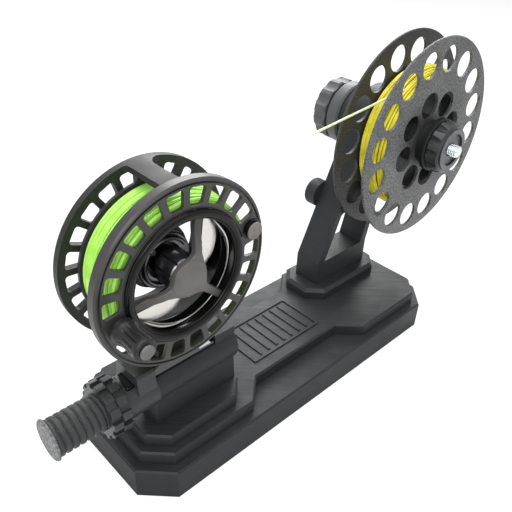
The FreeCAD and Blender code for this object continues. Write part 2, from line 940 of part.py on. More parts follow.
def sliding_hood():
    """A smooth tube with a slot for the foot's tip, and a block that bridges the slot."""
    body = new_body("sliding_hood", x=hood_left, y=s.seat_y, z=s.barrel_z)
    shell = circle(sketch_on(body, "X"), 0, 0, s.hood_radius)
    pad(body, shell, s.hood_reach)
    block = sketch_on(body, "X", s.hood_ring)
    root = s.hood_root_half
    top = s.hood_top_half
    rise = s.hood_top_rise
    bevel = s.edge_bevel
    polygon(block, [
        (-root, 0),
        (root, 0),
        (top, rise - bevel),
        (top - bevel, rise),
        (bevel - top, rise),
        (-top, rise - bevel),
    ])
    pad(body, block, s.hood_block)
    bore = circle(sketch_on(body, "X"), 0, 0, nut_bore)
    pocket(body, bore, s.hood_reach)
    tip_half = s.foot_half_width + s.foot_gap
    roof = s.saddle_rise + s.foot_tip_thick + s.foot_gap * 2
    slot_start = foot_left - s.foot_gap - hood_left
    mouth = sketch_on(body, "X", s.hood_ring)
    polygon(mouth, [(-tip_half, 0), (tip_half, 0), (tip_half, roof), (-tip_half, roof)])
    pocket(body, mouth, s.hood_block)
    over = s.hood_radius + bevel
    block_end = s.hood_ring + s.hood_block
    for start, end in ((slot_start, s.hood_ring), (block_end, s.hood_reach)):
        slot = sketch_on(body, "X", start)
        polygon(slot, [(-tip_half, 0), (tip_half, 0), (tip_half, over), (-tip_half, over)])
        pocket(body, slot, end - start)


def reel_foot():
    """The reel's foot: tapered tips, a raised middle and a curved top under the frame."""
    body = new_body("reel_foot", x=s.reel_x, y=s.seat_y)
    under = saddle_z + s.foot_lift
    shoulder = under + s.foot_mid_thick
    tip_top = under + s.foot_tip_thick
    neck_z = s.reel_z - s.frame_radius - s.foot_mid_thick
    half = s.foot_half_length
    side = [
        (half, under),
        (half, tip_top),
        (half - s.foot_tip_length, tip_top),
        (s.foot_root_half + s.foot_mid_thick, shoulder),
        (s.foot_root_half, shoulder + s.foot_tip_thick),
        (s.foot_neck_half, neck_z),
        (s.foot_root_half, s.reel_z - s.frame_radius + s.foot_mid_thick),
    ]
    outline = [(-x, z) for x, z in side] + side[::-1]
    pad(body, polygon(sketch_on(body, "Y", -s.foot_half_width), outline), 2 * s.foot_half_width)
    seat = circle(sketch_on(body, "Y", -s.foot_half_width), 0, s.reel_z, s.frame_radius)
    pocket(body, seat, 2 * s.foot_half_width)
    holes = sketch_on(body, "Z", s.reel_z - s.frame_radius - foot_screw_grip)
    for side in (-1, 1):
        circle(holes, side * s.foot_neck_half / 2, 0, s.screw_radius)
    pocket(body, holes, foot_screw_grip + s.bridge_wall)


def foot_screws():
    depth = s.bridge_wall + foot_screw_grip
    low = s.reel_z - s.frame_radius - foot_screw_grip
    places = (-s.foot_neck_half / 2, s.foot_neck_half / 2)
    bars = [
        cylinder(f"foot_screw_{i}", s.screw_radius, depth, "Z", s.reel_x + x, s.seat_y, low)
        for i, x in enumerate(places)
    ]
    group("foot_screws", bars)


# ---------------------------------------------------------------- reel


def window_outline(inner, outer, bar, count, phase):
    """One opening between two radial bars, as seen along Y, with straight sides."""
    corners = []
    for orbit, side in ((inner, -1), (outer, -1), (outer, 1), (inner, 1)):
        swing = side * (180.0 / count - bar / 2 / orbit * math.degrees(1))
        corners.append(polar(orbit, phase + swing))
    return corners


def cut_windows(body, face, depth, inner, outer, bar, count, phase):
    """A ring of openings whose corners along Y are rounded."""
    sketch = sketch_on(body, "Y", face)
    polygon(sketch, window_outline(inner, outer, bar, count, phase))
    around(body, pocket(body, sketch, depth), count)

    def corner(edge):
        middle = edge.CenterOfMass
        orbit = math.hypot(middle.x, middle.z)
        within = number(inner) - 1 < orbit < number(outer) + 1
        return edge.BoundBox.DiagonalLength - edge.BoundBox.YLength < NEAR and within

    ease(body, "Fillet", s.window_corner, corner)


def reel_spool():
    body = new_body("reel_spool", x=s.reel_x, z=s.reel_z)
    lip_inner = rim_radius - s.rim_lip
    front = s.reel_front
    bevel = s.edge_bevel * 0.8
    groove_outer = rim_radius - s.rim_groove_in
    groove_floor = front + s.rim_groove_depth
    turn(body, [
        (arbor_bore, spool_back),
        (back_flange_radius, spool_back),
        (back_flange_radius, line_back),
        (s.arbor_radius, line_back),
        (s.arbor_radius, flange_back),
        (lip_inner, flange_back),
        (lip_inner, front + s.rim_depth),
        (rim_radius, front + s.rim_depth),
        (rim_radius, front + bevel),
        (rim_radius - bevel, front),
        (groove_outer, front),
        (groove_outer, groove_floor),
        (groove_outer - s.rim_groove, groove_floor),
        (groove_outer - s.rim_groove, front),
        (s.ring_outer, front),
        (s.ring_outer - bevel, front - s.ring_rise),
        (arbor_bore + bevel, front - s.ring_rise),
        (arbor_bore, front),
    ])
    count = s.window_count
    cut_windows(
        body, front, s.reel_flange, s.window_inner, window_outer, s.window_bar, count, s.window_phase
    )
    for orbit, radius, angle in (
        (s.handle_orbit, s.handle_boss, s.window_phase),
        (s.weight_orbit, s.weight_radius + s.edge_bevel, s.window_phase + 180),
    ):
        boss = circle(sketch_on(body, "Y", front), *polar(orbit, angle), radius)
        pad(body, boss, s.reel_flange)
    pin = circle(sketch_on(body, "Y", front), *polar(s.handle_orbit, s.window_phase), s.pin_radius)
    pocket(body, pin, s.reel_flange)


def spool_spider():
    """Three arms from the hub to the arbor, with the hub tube behind them."""
    body = new_body("spool_spider", x=s.reel_x, z=s.reel_z)
    tube = sketch_on(body, "Y", hub_back)
    circle(tube, 0, 0, s.hub_tube_radius)
    pad(body, tube, s.hub_tube_length + s.spider_thick, toward=-1)
    nose = sketch_on(body, "Y", spider_back)
    circle(nose, 0, 0, s.spider_boss)
    pad(body, nose, s.spider_thick + s.spider_rise, toward=-1)
    arm = sketch_on(body, "Y", spider_back)
    root_half = s.spider_arm_half * 1.6
    tip = s.arbor_radius + s.spider_arm_half
    corners = [(0, -root_half), (tip, -s.spider_arm_half), (tip, s.spider_arm_half), (0, root_half)]
    phase = s.spider_phase
    turned = [
        (x * cosine(phase) - y * sine(phase), x * sine(phase) + y * cosine(phase))
        for x, y in corners
    ]
    around(body, pad(body, polygon(arm, turned), s.spider_thick, toward=-1), 3)
    trim = sketch_on(body, "Y", spider_back)
    circle(trim, 0, 0, arbor_bore)
    circle(trim, 0, 0, 2 * rim_radius)
    pocket(body, trim, s.spider_thick, toward=-1)
    bore = circle(sketch_on(body, "Y", hub_back), 0, 0, s.spindle_radius + s.foot_gap)
    pocket(body, bore, hub_back - spider_nose - s.hub_cap_thick, toward=-1)
    for start, toward in ((hub_back, -1), (spider_front, 1)):
        housing = circle(sketch_on(body, "Y", start), 0, 0, s.reel_bearing_radius)
        pocket(body, housing, s.reel_bearing_width, toward)


def ring_bar(name, outer, inner, length, x, y, z):
    """A plain ring along +Y."""
    solid = cylinder(name + "_outer", outer, length, "Y", x, y, z)
    hole = cylinder(name + "_inner", inner, length, "Y", x, y, z)
    return cut(name, solid, hole)


def reel_bearings():
    starts = (hub_back - s.reel_bearing_width, spider_front)
    rings = [
        ring_bar(
            f"reel_bearing_{i}", s.reel_bearing_radius, bore_radius, s.reel_bearing_width,
            s.reel_x, y, s.reel_z,
        )
        for i, y in enumerate(starts)
    ]
    group("reel_bearings", rings)


def clutch_ring():
    y = hub_back - s.clutch_width
    ring = ring_bar(
        "clutch_ring_cut", s.clutch_radius, s.hub_tube_radius, s.clutch_width, s.reel_x, y, s.reel_z
    )
    piece("clutch_ring", ring)


def hub_cap():
    """A bare three-sided cap on the reel's nose."""
    body = new_body("hub_cap", x=s.reel_x, z=s.reel_z)
    face = sketch_on(body, "Y", spider_nose)
    corners = [
        polar(s.hub_cap_radius, s.spider_phase + 60 * step)
        for step in range(6)
    ]
    polygon(face, corners)
    pad(body, face, s.hub_cap_thick, toward=-1)
    rim = edge_at("Y", spider_nose - s.hub_cap_thick)
    ease(body, "Fillet", s.hub_cap_thick * 0.6, rim)


def reel_frame():
    body = new_body("reel_frame", x=s.reel_x, z=s.reel_z)
    ring = sketch_on(body, "Y", frame_front)
    circle(ring, 0, 0, s.frame_radius)
    circle(ring, 0, 0, s.frame_ring_inner)
    pad(body, ring, s.frame_plate)
    cut_windows(
        body, frame_front, s.frame_plate, s.frame_window_inner, frame_window_outer, s.window_bar,
        s.frame_window_count, s.frame_window_phase,
    )
    hub = sketch_on(body, "Y", frame_front)
    circle(hub, 0, 0, s.frame_hub)
    pad(body, hub, s.frame_plate)
    spoke = sketch_on(body, "Y", frame_front)
    half = s.frame_spoke_half
    reach = s.frame_ring_inner + half / 2
    polygon(spoke, [(-half, 0), (half, 0), (half, reach), (-half, reach)])
    around(body, pad(body, spoke, s.frame_plate), 3)
    bridges(body)
    spindle = circle(sketch_on(body, "Y", frame_front), 0, 0, s.spindle_radius)
    pocket(body, spindle, s.frame_plate)
    screws = sketch_on(body, "Z", -s.frame_radius)
    for side in (-1, 1):
        circle(screws, side * s.foot_neck_half / 2, s.seat_y, s.screw_radius)
    pocket(body, screws, s.bridge_wall * 2)


def flare_angle(edge_angle, flare):
    """Where a flare of that radius, beside a bridge's edge, meets the hoop."""
    side = s.frame_radius * cosine(edge_angle)
    spread = side + flare if number(side) > 0 else side - flare
    share = number(spread) / number(s.frame_radius)
    return Size(math.degrees(math.acos(share)), f"(acos({text(spread)} / Sizes.frame_radius) / 1 deg)")


def flare(body, edge_angle, radius, toward):
    """Cut the top bridge's side square, with a round corner against the plate."""
    edge = s.frame_radius * cosine(edge_angle)
    corner = edge + toward * radius
    far = edge + toward * 2 * radius
    low = s.frame_radius / 2
    side = sketch_on(body, "Z", low)
    polygon(side, [
        (edge, bridge_front),
        (far, bridge_front),
        (far, frame_front),
        (corner, frame_front),
        (corner, frame_front - radius),
        (edge, frame_front - radius),
    ])
    pocket(body, side, s.frame_radius)
    round_cut = circle(sketch_on(body, "Z", low), corner, frame_front - radius, radius)
    pocket(body, round_cut, s.frame_radius)


def bridges(body):
    """Two arched bars over the spool, left where a full hoop isn't cut away."""
    depth = frame_front - bridge_front
    hoop = sketch_on(body, "Y", frame_front)
    circle(hoop, 0, 0, s.frame_radius)
    circle(hoop, 0, 0, bridge_inner)
    pad(body, hoop, depth, toward=-1)
    low_bridge = 270
    gaps = (
        (low_bridge - 360 + s.low_bridge_half, flare_angle(s.top_bridge_start, s.right_flare)),
        (flare_angle(s.top_bridge_end, s.left_flare), low_bridge - s.low_bridge_half),
    )
    for start, end in gaps:
        wedge = sketch_on(body, "Y", frame_front)
        third = (end - start) / 3
        rim = [polar(2 * s.frame_radius, start + third * step) for step in range(4)]
        polygon(wedge, [(0, 0)] + rim)
        pocket(body, wedge, depth, toward=-1)
    flare(body, s.top_bridge_start, s.right_flare, 1)
    flare(body, s.top_bridge_end, s.left_flare, -1)


def reel_spindle():
    start = spider_nose + 2 * s.hub_cap_thick
    end = frame_back + s.drag_knob_gap + s.drag_knob_length
    rod = cylinder(
        "reel_spindle_rod", s.spindle_radius, end - start, "Y", s.reel_x, start, s.reel_z
    )
    piece("reel_spindle", rod)


def drag_housing():
    y = frame_front - s.drag_length
    ring = ring_bar(
        "drag_housing_cut", s.drag_radius, s.spindle_radius, s.drag_length, s.reel_x, y, s.reel_z
    )
    piece("drag_housing", ring)


def fluted_ring(body, face, length, outer, bore, flutes, flute_radius, flute_depth, tip=None):
    """A grip ring along +Y from face, scalloped all round."""
    end = face + length
    ease_by = s.edge_bevel
    start_radius = outer if tip is None else tip
    turn(body, [
        (bore, face),
        (start_radius - ease_by, face),
        (start_radius, face + ease_by),
        (outer, end - ease_by),
        (outer - ease_by, end),
        (bore, end),
    ])
    scallop = circle(
        sketch_on(body, "Y", face), outer + flute_radius - flute_depth, 0, flute_radius
    )
    return around(body, pocket(body, scallop, length), flutes)


def drag_knob():
    body = new_body("drag_knob", x=s.reel_x, z=s.reel_z)
    fluted_ring(
        body, frame_back + s.drag_knob_gap, s.drag_knob_length, s.drag_knob_radius, bore_radius,
        s.drag_knob_flutes, s.front_flute_radius, s.front_flute_depth / 2,
    )


def on_handle():
    x, z = polar(s.handle_orbit, s.window_phase)
    return s.reel_x + x, s.reel_z + z


def handle_pin():
    x, z = on_handle()
    back = flange_back
    front = s.reel_front - s.ring_rise - s.knob_lift - s.knob_length
    shank = cylinder("handle_pin_shank", s.pin_radius, back - front, "Y", x, front, z)
    top = front - s.pin_head_height - s.knob_lift / 2
    neck = cylinder("handle_pin_neck", s.pin_radius, front - top, "Y", x, top, z)
    head = cylinder("handle_pin_head", s.pin_head_radius, s.pin_head_height, "Y", x, top, z)
    piece("handle_pin", fuse("handle_pin_bars", [shank, neck, head]))


def handle_knob():
    x, z = on_handle()
    body = new_body("handle_knob", x=x, z=z)
    back = s.reel_front - s.ring_rise - s.knob_lift
    front = back - s.knob_length
    bore = s.pin_radius + s.run_gap
    turn(body, [
        (bore, back),
        (s.knob_base_radius - s.edge_bevel, back),
        (s.knob_base_radius, back - s.edge_bevel),
        (s.knob_waist_radius, back - s.knob_length / 2),
        (s.knob_tip_radius, front + s.knob_length / 5),
        (s.knob_tip_radius, front + s.edge_bevel),
        (s.knob_tip_radius - s.edge_bevel, front),
        (bore, front),
    ])


def counterweight():
    x, z = polar(s.weight_orbit, s.window_phase + 180)
    body = new_body("counterweight", x=s.reel_x + x, z=s.reel_z + z)
    disc = circle(sketch_on(body, "Y", s.reel_front), 0, 0, s.weight_radius)
    length = s.weight_length - s.reel_flange
    pad(body, disc, length, toward=-1)
    ease(body, "Fillet", s.edge_bevel, edge_at("Y", s.reel_front - length))


def winding(label, x, z, inner, front, back, depth, crown):
    """Wound line: a ring that is fuller in the middle than at its sides."""
    body = new_body(label, x=x, z=z)
    width = back - front
    turn(body, [
        (inner, front),
        (inner + depth, front),
        (inner + depth + crown * 0.75, front + width * 0.2),
        (inner + depth + crown, front + width * 0.5),
        (inner + depth + crown * 0.75, front + width * 0.8),
        (inner + depth, back),
        (inner, back),
    ])


# ---------------------------------------------------------------- post and axle


def tangent_point():
    """Where the rear leg's outer line, from the foot's top corner, meets the head."""
    dx = s.axle_x - s.post_left
    dz = s.axle_z - foot_top
    reach_squared = dx * dx + dz * dz
    run_squared = reach_squared - s.post_head_radius * s.post_head_radius
    lean = root(run_squared) * s.post_head_radius
    x = s.post_left + (run_squared * dx - lean * dz) / reach_squared
    z = foot_top + (run_squared * dz + lean * dx) / reach_squared
    return x, z


def peg_place():
    """The peg's axis, inside the rear leg's outer line at its own height."""
    lean_x, lean_z = tangent_point()
    rise = (s.peg_z - foot_top) / (lean_z - foot_top)
    return s.post_left + (lean_x - s.post_left) * rise + s.peg_in


peg_x = peg_place()


def arm_post():
    body = new_body("arm_post")
    head_low = s.axle_z - s.post_head_radius
    profile = [
        (s.post_left, post_plinth_top),
        (s.post_right, post_plinth_top),
        (s.leg_bend_x, s.leg_bend_z),
        (s.axle_x - s.leg_top_in, head_low + s.leg_top_in),
        (s.axle_x, s.axle_z),
        tangent_point(),
        (s.post_left, foot_top),
    ]
    pad(body, polygon(sketch_on(body, "Y", post_front), profile), s.post_thick)
    head = circle(sketch_on(body, "Y", post_front), s.axle_x, s.axle_z, s.post_head_radius)
    pad(body, head, s.post_thick)
    boss = circle(sketch_on(body, "Y", post_back), s.axle_x, s.axle_z, s.boss_radius)
    pad(body, boss, s.boss_length)
    window_top = head_low - s.window_top_drop
    window = [
        (s.window_left, foot_top),
        (s.window_right, foot_top),
        (s.axle_x - s.window_top_near, window_top),
        (s.axle_x - s.window_top_wide, window_top),
    ]
    pocket(body, polygon(sketch_on(body, "Y", post_front), window), s.post_thick)
    at_top = edge_at("Z", window_top)
    ease(body, "Fillet", s.window_round, lambda edge: at_top(edge) and edge.BoundBox.YLength > NEAR)
    for start in (front_bearing, rear_bearing):
        face = post_front if start is front_bearing else boss_back
        toward = 1 if start is front_bearing else -1
        seat = circle(sketch_on(body, "Y", face), s.axle_x, s.axle_z, s.bearing_radius)
        pocket(body, seat, s.bearing_inset + s.bearing_width, toward)
    bore = circle(sketch_on(body, "Y", post_front), s.axle_x, s.axle_z, s.sleeve_radius + s.foot_gap)
    pocket(body, bore, boss_back - post_front)
    bolts = sketch_on(body, "Z", post_plinth_top)
    for x, y in post_bolt_places():
        circle(bolts, x, y, s.bolt_radius)
    pocket(body, bolts, s.bolt_grip)
    screw = circle(sketch_on(body, "Y", post_back), peg_x + s.peg_screw_in, s.peg_z, s.screw_radius)
    pocket(body, screw, s.post_thick / 2, toward=-1)


def post_peg():
    body = new_body("post_peg", x=peg_x, z=s.peg_z)
    end = post_back + s.peg_length
    disc = circle(sketch_on(body, "Y", post_back), 0, 0, s.peg_radius)
    pad(body, disc, s.peg_length)
    ease(body, "Fillet", s.peg_round, edge_at("Y", end))
    bore = circle(sketch_on(body, "Y", post_back), s.peg_screw_in, 0, s.screw_radius)
    pocket(body, bore, s.peg_length)
    sink = circle(sketch_on(body, "Y", end), s.peg_screw_in, 0, s.screw_head_radius)
    pocket(body, sink, s.peg_length / 2, toward=-1)


def peg_screw():
    middle = post_back + s.peg_length / 2
    head = (s.screw_head_radius, 0, s.screw_head_height)
    reach = s.peg_length / 2 + s.post_thick / 2
    shank = (s.screw_radius, -reach, reach)
    x = peg_x + s.peg_screw_in
    piece("peg_screw", headed("peg_screw_bars", "Y", x, middle, s.peg_z, head, shank))


def axle_bearings():
    rings = [
        ring_bar(
            f"axle_bearing_{i}", s.bearing_radius, rod_bore, s.bearing_width, s.axle_x, y, s.axle_z
        )
        for i, y in enumerate((front_bearing, rear_bearing))
    ]
    group("axle_bearings", rings)


def on_axle(label, points):
    """A turned piece on the axle."""
    body = new_body(label, x=s.axle_x, z=s.axle_z)
    turn(body, points)
    return body


def sleeve(label, start, end):
    """A plain spacer tube on the rod."""
    ring = ring_bar(
        label + "_ring", s.sleeve_radius, s.rod_radius, end - start, s.axle_x, start, s.axle_z
    )
    piece(label, ring)


def axle_rod():
    shaft = cylinder(
        "axle_rod_shaft", s.rod_radius, s.rod_rear - knob_front, "Y", s.axle_x, knob_front, s.axle_z
    )
    end = cylinder(
        "axle_rod_end", s.rod_end_radius, s.rod_reach, "Y", s.axle_x, rod_front, s.axle_z
    )
    piece("axle_rod", fuse("axle_rod_bars", [shaft, end]))


def rear_flange():
    end = flange_start + s.flange_length
    nose = rear_bearing + s.bearing_width
    on_axle("rear_flange", [
        (s.rod_radius, nose),
        (s.sleeve_radius, nose),
        (s.sleeve_radius, flange_start),
        (s.flange_radius - s.flange_round, flange_start),
        (s.flange_radius, flange_start + s.flange_round),
        (s.flange_radius, end - s.flange_round),
        (s.flange_radius - s.flange_round, end),
        (s.rear_neck_radius, end),
        (s.rear_neck_radius, rear_knob_start),
        (s.rod_radius, rear_knob_start),
    ])


def rear_knob():
    body = new_body("rear_knob", x=s.axle_x, z=s.axle_z)
    fluted_ring(
        body, rear_knob_start, s.rear_knob_length, s.rear_knob_radius, s.rod_radius,
        s.rear_knob_flutes, s.flute_radius, s.flute_depth,
    )


def spool_disc(label, front, rim_phase):
    """A perforated disc with a ring of holes near its rim and one round its hub."""
    back = front + s.disc_thick
    bevel = s.edge_bevel / 2
    body = on_axle(label, [
        (s.rod_radius, front),
        (s.disc_radius - bevel, front),
        (s.disc_radius, front + bevel),
        (s.disc_radius, back - bevel),
        (s.disc_radius - bevel, back),
        (s.rod_radius, back),
    ])
    screws = circle(sketch_on(body, "Y", front), s.flange_screw_orbit, 0, s.flange_screw_radius)
    around(body, pocket(body, screws, s.disc_thick), 4)
    for orbit, radius, count, phase in (
        (s.rim_hole_orbit, s.rim_hole_radius, s.rim_hole_count, rim_phase),
        (s.hub_hole_orbit, s.hub_hole_radius, s.hub_hole_count, s.hub_hole_phase),
    ):
        hole = circle(sketch_on(body, "Y", front), *polar(orbit, phase), radius)
        around(body, pocket(body, hole, s.disc_thick), count)


def spool_core():
    """The drum that the line is wound on: rim, thin web and thick hub."""
    middle = (core_front + core_back) / 2
    rim_bore = s.core_radius - s.core_wall
    half_web = s.core_web / 2
    body = on_axle("spool_core", [
        (s.rod_radius, core_front),
        (s.core_hub_radius, core_front),
        (s.core_hub_radius, middle - half_web),
        (rim_bore, middle - half_web),
        (rim_bore, core_front),
        (s.core_radius, core_front),
        (s.core_radius, core_back),
        (rim_bore, core_back),
        (rim_bore, middle + half_web),
        (s.core_hub_radius, middle + half_web),
        (s.core_hub_radius, core_back),
        (s.rod_radius, core_back),
    ])
    screw = circle(sketch_on(body, "Y", core_front), s.flange_screw_orbit, 0, s.flange_screw_radius)
    around(body, pocket(body, screw, s.core_length), 4)


def flange_screws():
    head = (s.flange_screw_head, 0, s.flange_screw_head_height)
    reach = rear_disc_back - front_disc_front
    shank = (s.flange_screw_radius, -reach, reach)
    orbit = s.flange_screw_orbit
    screws = [
        headed(
            f"flange_screw_{i}", "Y", s.axle_x + orbit * x, rear_disc_back, s.axle_z + orbit * z,
            head, shank,
        )
        for i, (x, z) in enumerate(((1, 0), (0, 1), (-1, 0), (0, -1)))
    ]
    group("flange_screws", screws)


def front_collar():
    shoulder = front_disc_front - s.cone_length
    bevel = s.edge_bevel
    on_axle("front_collar", [
        (rod_bore, front_disc_front),
        (rod_bore, collar_front),
        (s.collar_radius - bevel, collar_front),
        (s.collar_radius, collar_front + bevel),
        (s.collar_radius, shoulder),
        (s.cone_radius, shoulder),
        (s.cone_radius + bevel, front_disc_front),
    ])


def front_knob():
    """A fluted knob with a raised lip and a recess round the rod."""
    body = new_body("front_knob", x=s.axle_x, z=s.axle_z)
    lip_back = knob_front + s.lip_height
    fluted_ring(
        body, lip_back, s.front_knob_length, s.front_knob_radius, rod_bore + s.foot_gap,
        s.front_knob_flutes, s.front_flute_radius, s.front_flute_depth, s.front_knob_tip_radius,
    )
    lip = sketch_on(body, "Y", lip_back)
    circle(lip, 0, 0, s.lip_radius - s.edge_bevel)
    circle(lip, 0, 0, s.recess_radius)
    pad(body, lip, s.lip_height, toward=-1)
    recess = circle(sketch_on(body, "Y", lip_back), 0, 0, s.recess_radius)
    pocket(body, recess, s.recess_depth - s.lip_height)
    seat = sketch_on(body, "Y", knob_back)
    polygon(seat, hexagon(s.insert_radius))
    pocket(body, seat, s.insert_width, toward=-1)


def hexagon(radius):
    return [polar(radius, 60 * step) for step in range(6)]


def front_insert():
    """The hexagonal threaded nut in the back of the front knob."""
    body = new_body("front_insert", x=s.axle_x, z=s.axle_z)
    face = sketch_on(body, "Y", knob_back)
    polygon(face, hexagon(s.insert_radius))
    circle(face, 0, 0, rod_bore)
    pad(body, face, s.insert_width, toward=-1)


# Free end of the line, from the winding's top to its bare tip.
TAIL_START = (107.4, -15.5, 176.1)
TAIL_END = (26.4, 0.0, 157.0)


def line_tail():
    start = FreeCAD.Vector(*TAIL_START)
    run = FreeCAD.Vector(*TAIL_END) - start
    tail = doc.addObject("Part::Cylinder", "line_tail_bar")
    bind(tail, "Radius", s.tail_radius)
    tail.Height = run.Length
    tail.Placement = FreeCAD.Placement(start, FreeCAD.Rotation(UNIT["Z"], run))
    piece("yellow_line_tail", tail)


# ---------------------------------------------------------------- build all

base_body()
bottom_cover()
cover_screws()
ballast_bars()
seat_pedestal()
upright_bolts("pedestal_bolts", pedestal_bolt_places(), seat_plinth_top)
seat_barrel()
barrel_end_cap()
seat_screw()
sliding_hood()
lugged_nut("seat_nut", hood_left - s.nut_gap - s.nut_width, 0)
lugged_nut("lock_nut", hood_left - 2 * (s.nut_gap + s.nut_width), 180 / s.nut_lugs)
reel_foot()
foot_screws()
reel_frame()
reel_spindle()
drag_housing()
drag_knob()
reel_spool()
spool_spider()
reel_bearings()
clutch_ring()
hub_cap()
handle_pin()
handle_knob()
counterweight()
winding(
    "green_line_winding", s.reel_x, s.reel_z, s.arbor_radius, flange_back, line_back,
    reel_line_depth, s.reel_line_crown,
)
arm_post()
upright_bolts("post_bolts", post_bolt_places(), post_plinth_top)
post_peg()
peg_screw()
axle_bearings()
axle_rod()
sleeve("bearing_spacer", front_bearing + s.bearing_width, rear_bearing)
sleeve("front_spacer", rear_disc_back, front_bearing)
rear_flange()
rear_knob()
spool_disc("rear_spool_disc", core_back, s.rim_hole_phase + s.rear_disc_turn)
spool_disc("front_spool_disc", front_disc_front, s.rim_hole_phase)
spool_core()
flange_screws()
winding(
    "yellow_line_winding", s.axle_x, s.axle_z, s.core_radius, core_front, core_back,
    s.spool_line_depth, s.spool_line_crown,
)
line_tail()
front_collar()
front_knob()
front_insert()

doc.recompute()
for thing in doc.Objects:
    if "Invalid" in thing.State or "Error" in thing.State:
        raise RuntimeError(f"{thing.Label} failed: {thing.State}")

os.makedirs("parts", exist_ok=True)
for thing in pieces:
    shape = thing.Shape
    if shape.isNull() or not shape.isValid() or not shape.Solids:
        raise RuntimeError(f"{thing.Label} has no valid solid")
    shape.exportStep(f"parts/{thing.Label}.step")
    print(f"{thing.Label}: {len(shape.Solids)} solid, {shape.Volume:.0f} mm3")
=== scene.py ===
import math
import random

import bmesh
import bpy
from mathutils import Matrix, Vector, noise


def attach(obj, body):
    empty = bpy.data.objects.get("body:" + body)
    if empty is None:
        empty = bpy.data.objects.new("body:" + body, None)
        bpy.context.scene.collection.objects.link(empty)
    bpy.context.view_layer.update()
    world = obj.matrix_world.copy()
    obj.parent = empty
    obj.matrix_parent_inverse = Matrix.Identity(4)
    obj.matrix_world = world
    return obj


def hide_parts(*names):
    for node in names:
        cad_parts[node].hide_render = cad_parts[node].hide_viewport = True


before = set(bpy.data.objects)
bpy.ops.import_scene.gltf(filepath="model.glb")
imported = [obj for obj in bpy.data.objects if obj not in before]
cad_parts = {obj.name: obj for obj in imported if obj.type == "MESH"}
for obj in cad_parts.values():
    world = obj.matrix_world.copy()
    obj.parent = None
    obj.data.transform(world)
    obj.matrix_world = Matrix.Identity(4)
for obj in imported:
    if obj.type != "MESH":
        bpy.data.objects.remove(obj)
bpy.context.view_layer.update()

# Lengths here are in millimetres, as in the CAD source, and become metres in the meshes.
MM = 0.001

# The reel's, line spool's and handle's axes run along Y, at (x, z); the seat's runs along X, at (y, z).
REEL = (-91.0, 129.4)
AXLE = (117.0, 135.2)
HANDLE = (-127.029, 119.746)
SEAT = (-16.0, 60.0)


# ---------------------------------------------------------------- camera and line tail

FRAME_PIXELS = 512.0
FOCAL_PIXELS = 609.2
SENSOR_WIDTH = 36.0
LINE_RADIUS = 0.7


def add_camera():
    """The photograph's camera, solved from the object's straight edges and circles."""
    heading = math.radians(45.07)
    pitch = math.radians(33.48)
    roll = math.radians(2.768)
    forward = Vector((math.cos(pitch) * math.cos(heading), math.cos(pitch) * math.sin(heading),
                      -math.sin(pitch)))
    level = Vector((math.sin(heading), -math.cos(heading), 0.0))
    rise = level.cross(forward)
    right = level * math.cos(roll) + rise * math.sin(roll)
    up = rise * math.cos(roll) - level * math.sin(roll)
    data = bpy.data.cameras.new("camera")
    data.sensor_fit = "HORIZONTAL"
    data.sensor_width = SENSOR_WIDTH
    data.lens = FOCAL_PIXELS / FRAME_PIXELS * SENSOR_WIDTH
    data.clip_start = 0.01
    data.clip_end = 20.0
    camera = bpy.data.objects.new("camera", data)
    turn = Matrix((right, up, -forward)).transposed().to_4x4()
    camera.matrix_world = Matrix.Translation(Vector((-0.2250, -0.2096, 0.2875))) @ turn
    bpy.context.scene.collection.objects.link(camera)
    bpy.context.scene.camera = camera


def add_tail():
    """The line's free end. Its bevel depth is 1, so that each point's radius is the line's own."""
    points = [(107.4, -15.5, 176.1), (103.4, -14.6, 175.3), (62.0, -6.8, 165.5), (26.4, 0.0, 157.0)]
    data = bpy.data.curves.new("line_tail", "CURVE")
    data.dimensions = "3D"
    data.bevel_depth = 1.0
    data.bevel_resolution = 4
    data.resolution_u = 16
    data.use_fill_caps = True
    line = data.splines.new("NURBS")
    line.points.add(len(points) - 1)
    for knot, place in zip(line.points, points):
        knot.co = (place[0] * MM, place[1] * MM, place[2] * MM, 1.0)
        knot.radius = LINE_RADIUS * MM
    line.order_u = 3
    line.use_endpoint_u = True
    tail = bpy.data.objects.new("line_tail", data)
    bpy.context.scene.collection.objects.link(tail)
    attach(tail, "line_spool")
    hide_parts("yellow_line_tail")
    return tail


add_camera()
line_tail = add_tail()


# ---------------------------------------------------------------- materials

# The Mix node's colour sockets, which share their names with its other kinds.
MIX_FIRST = 6
MIX_SECOND = 7
MIX_RESULT = 2


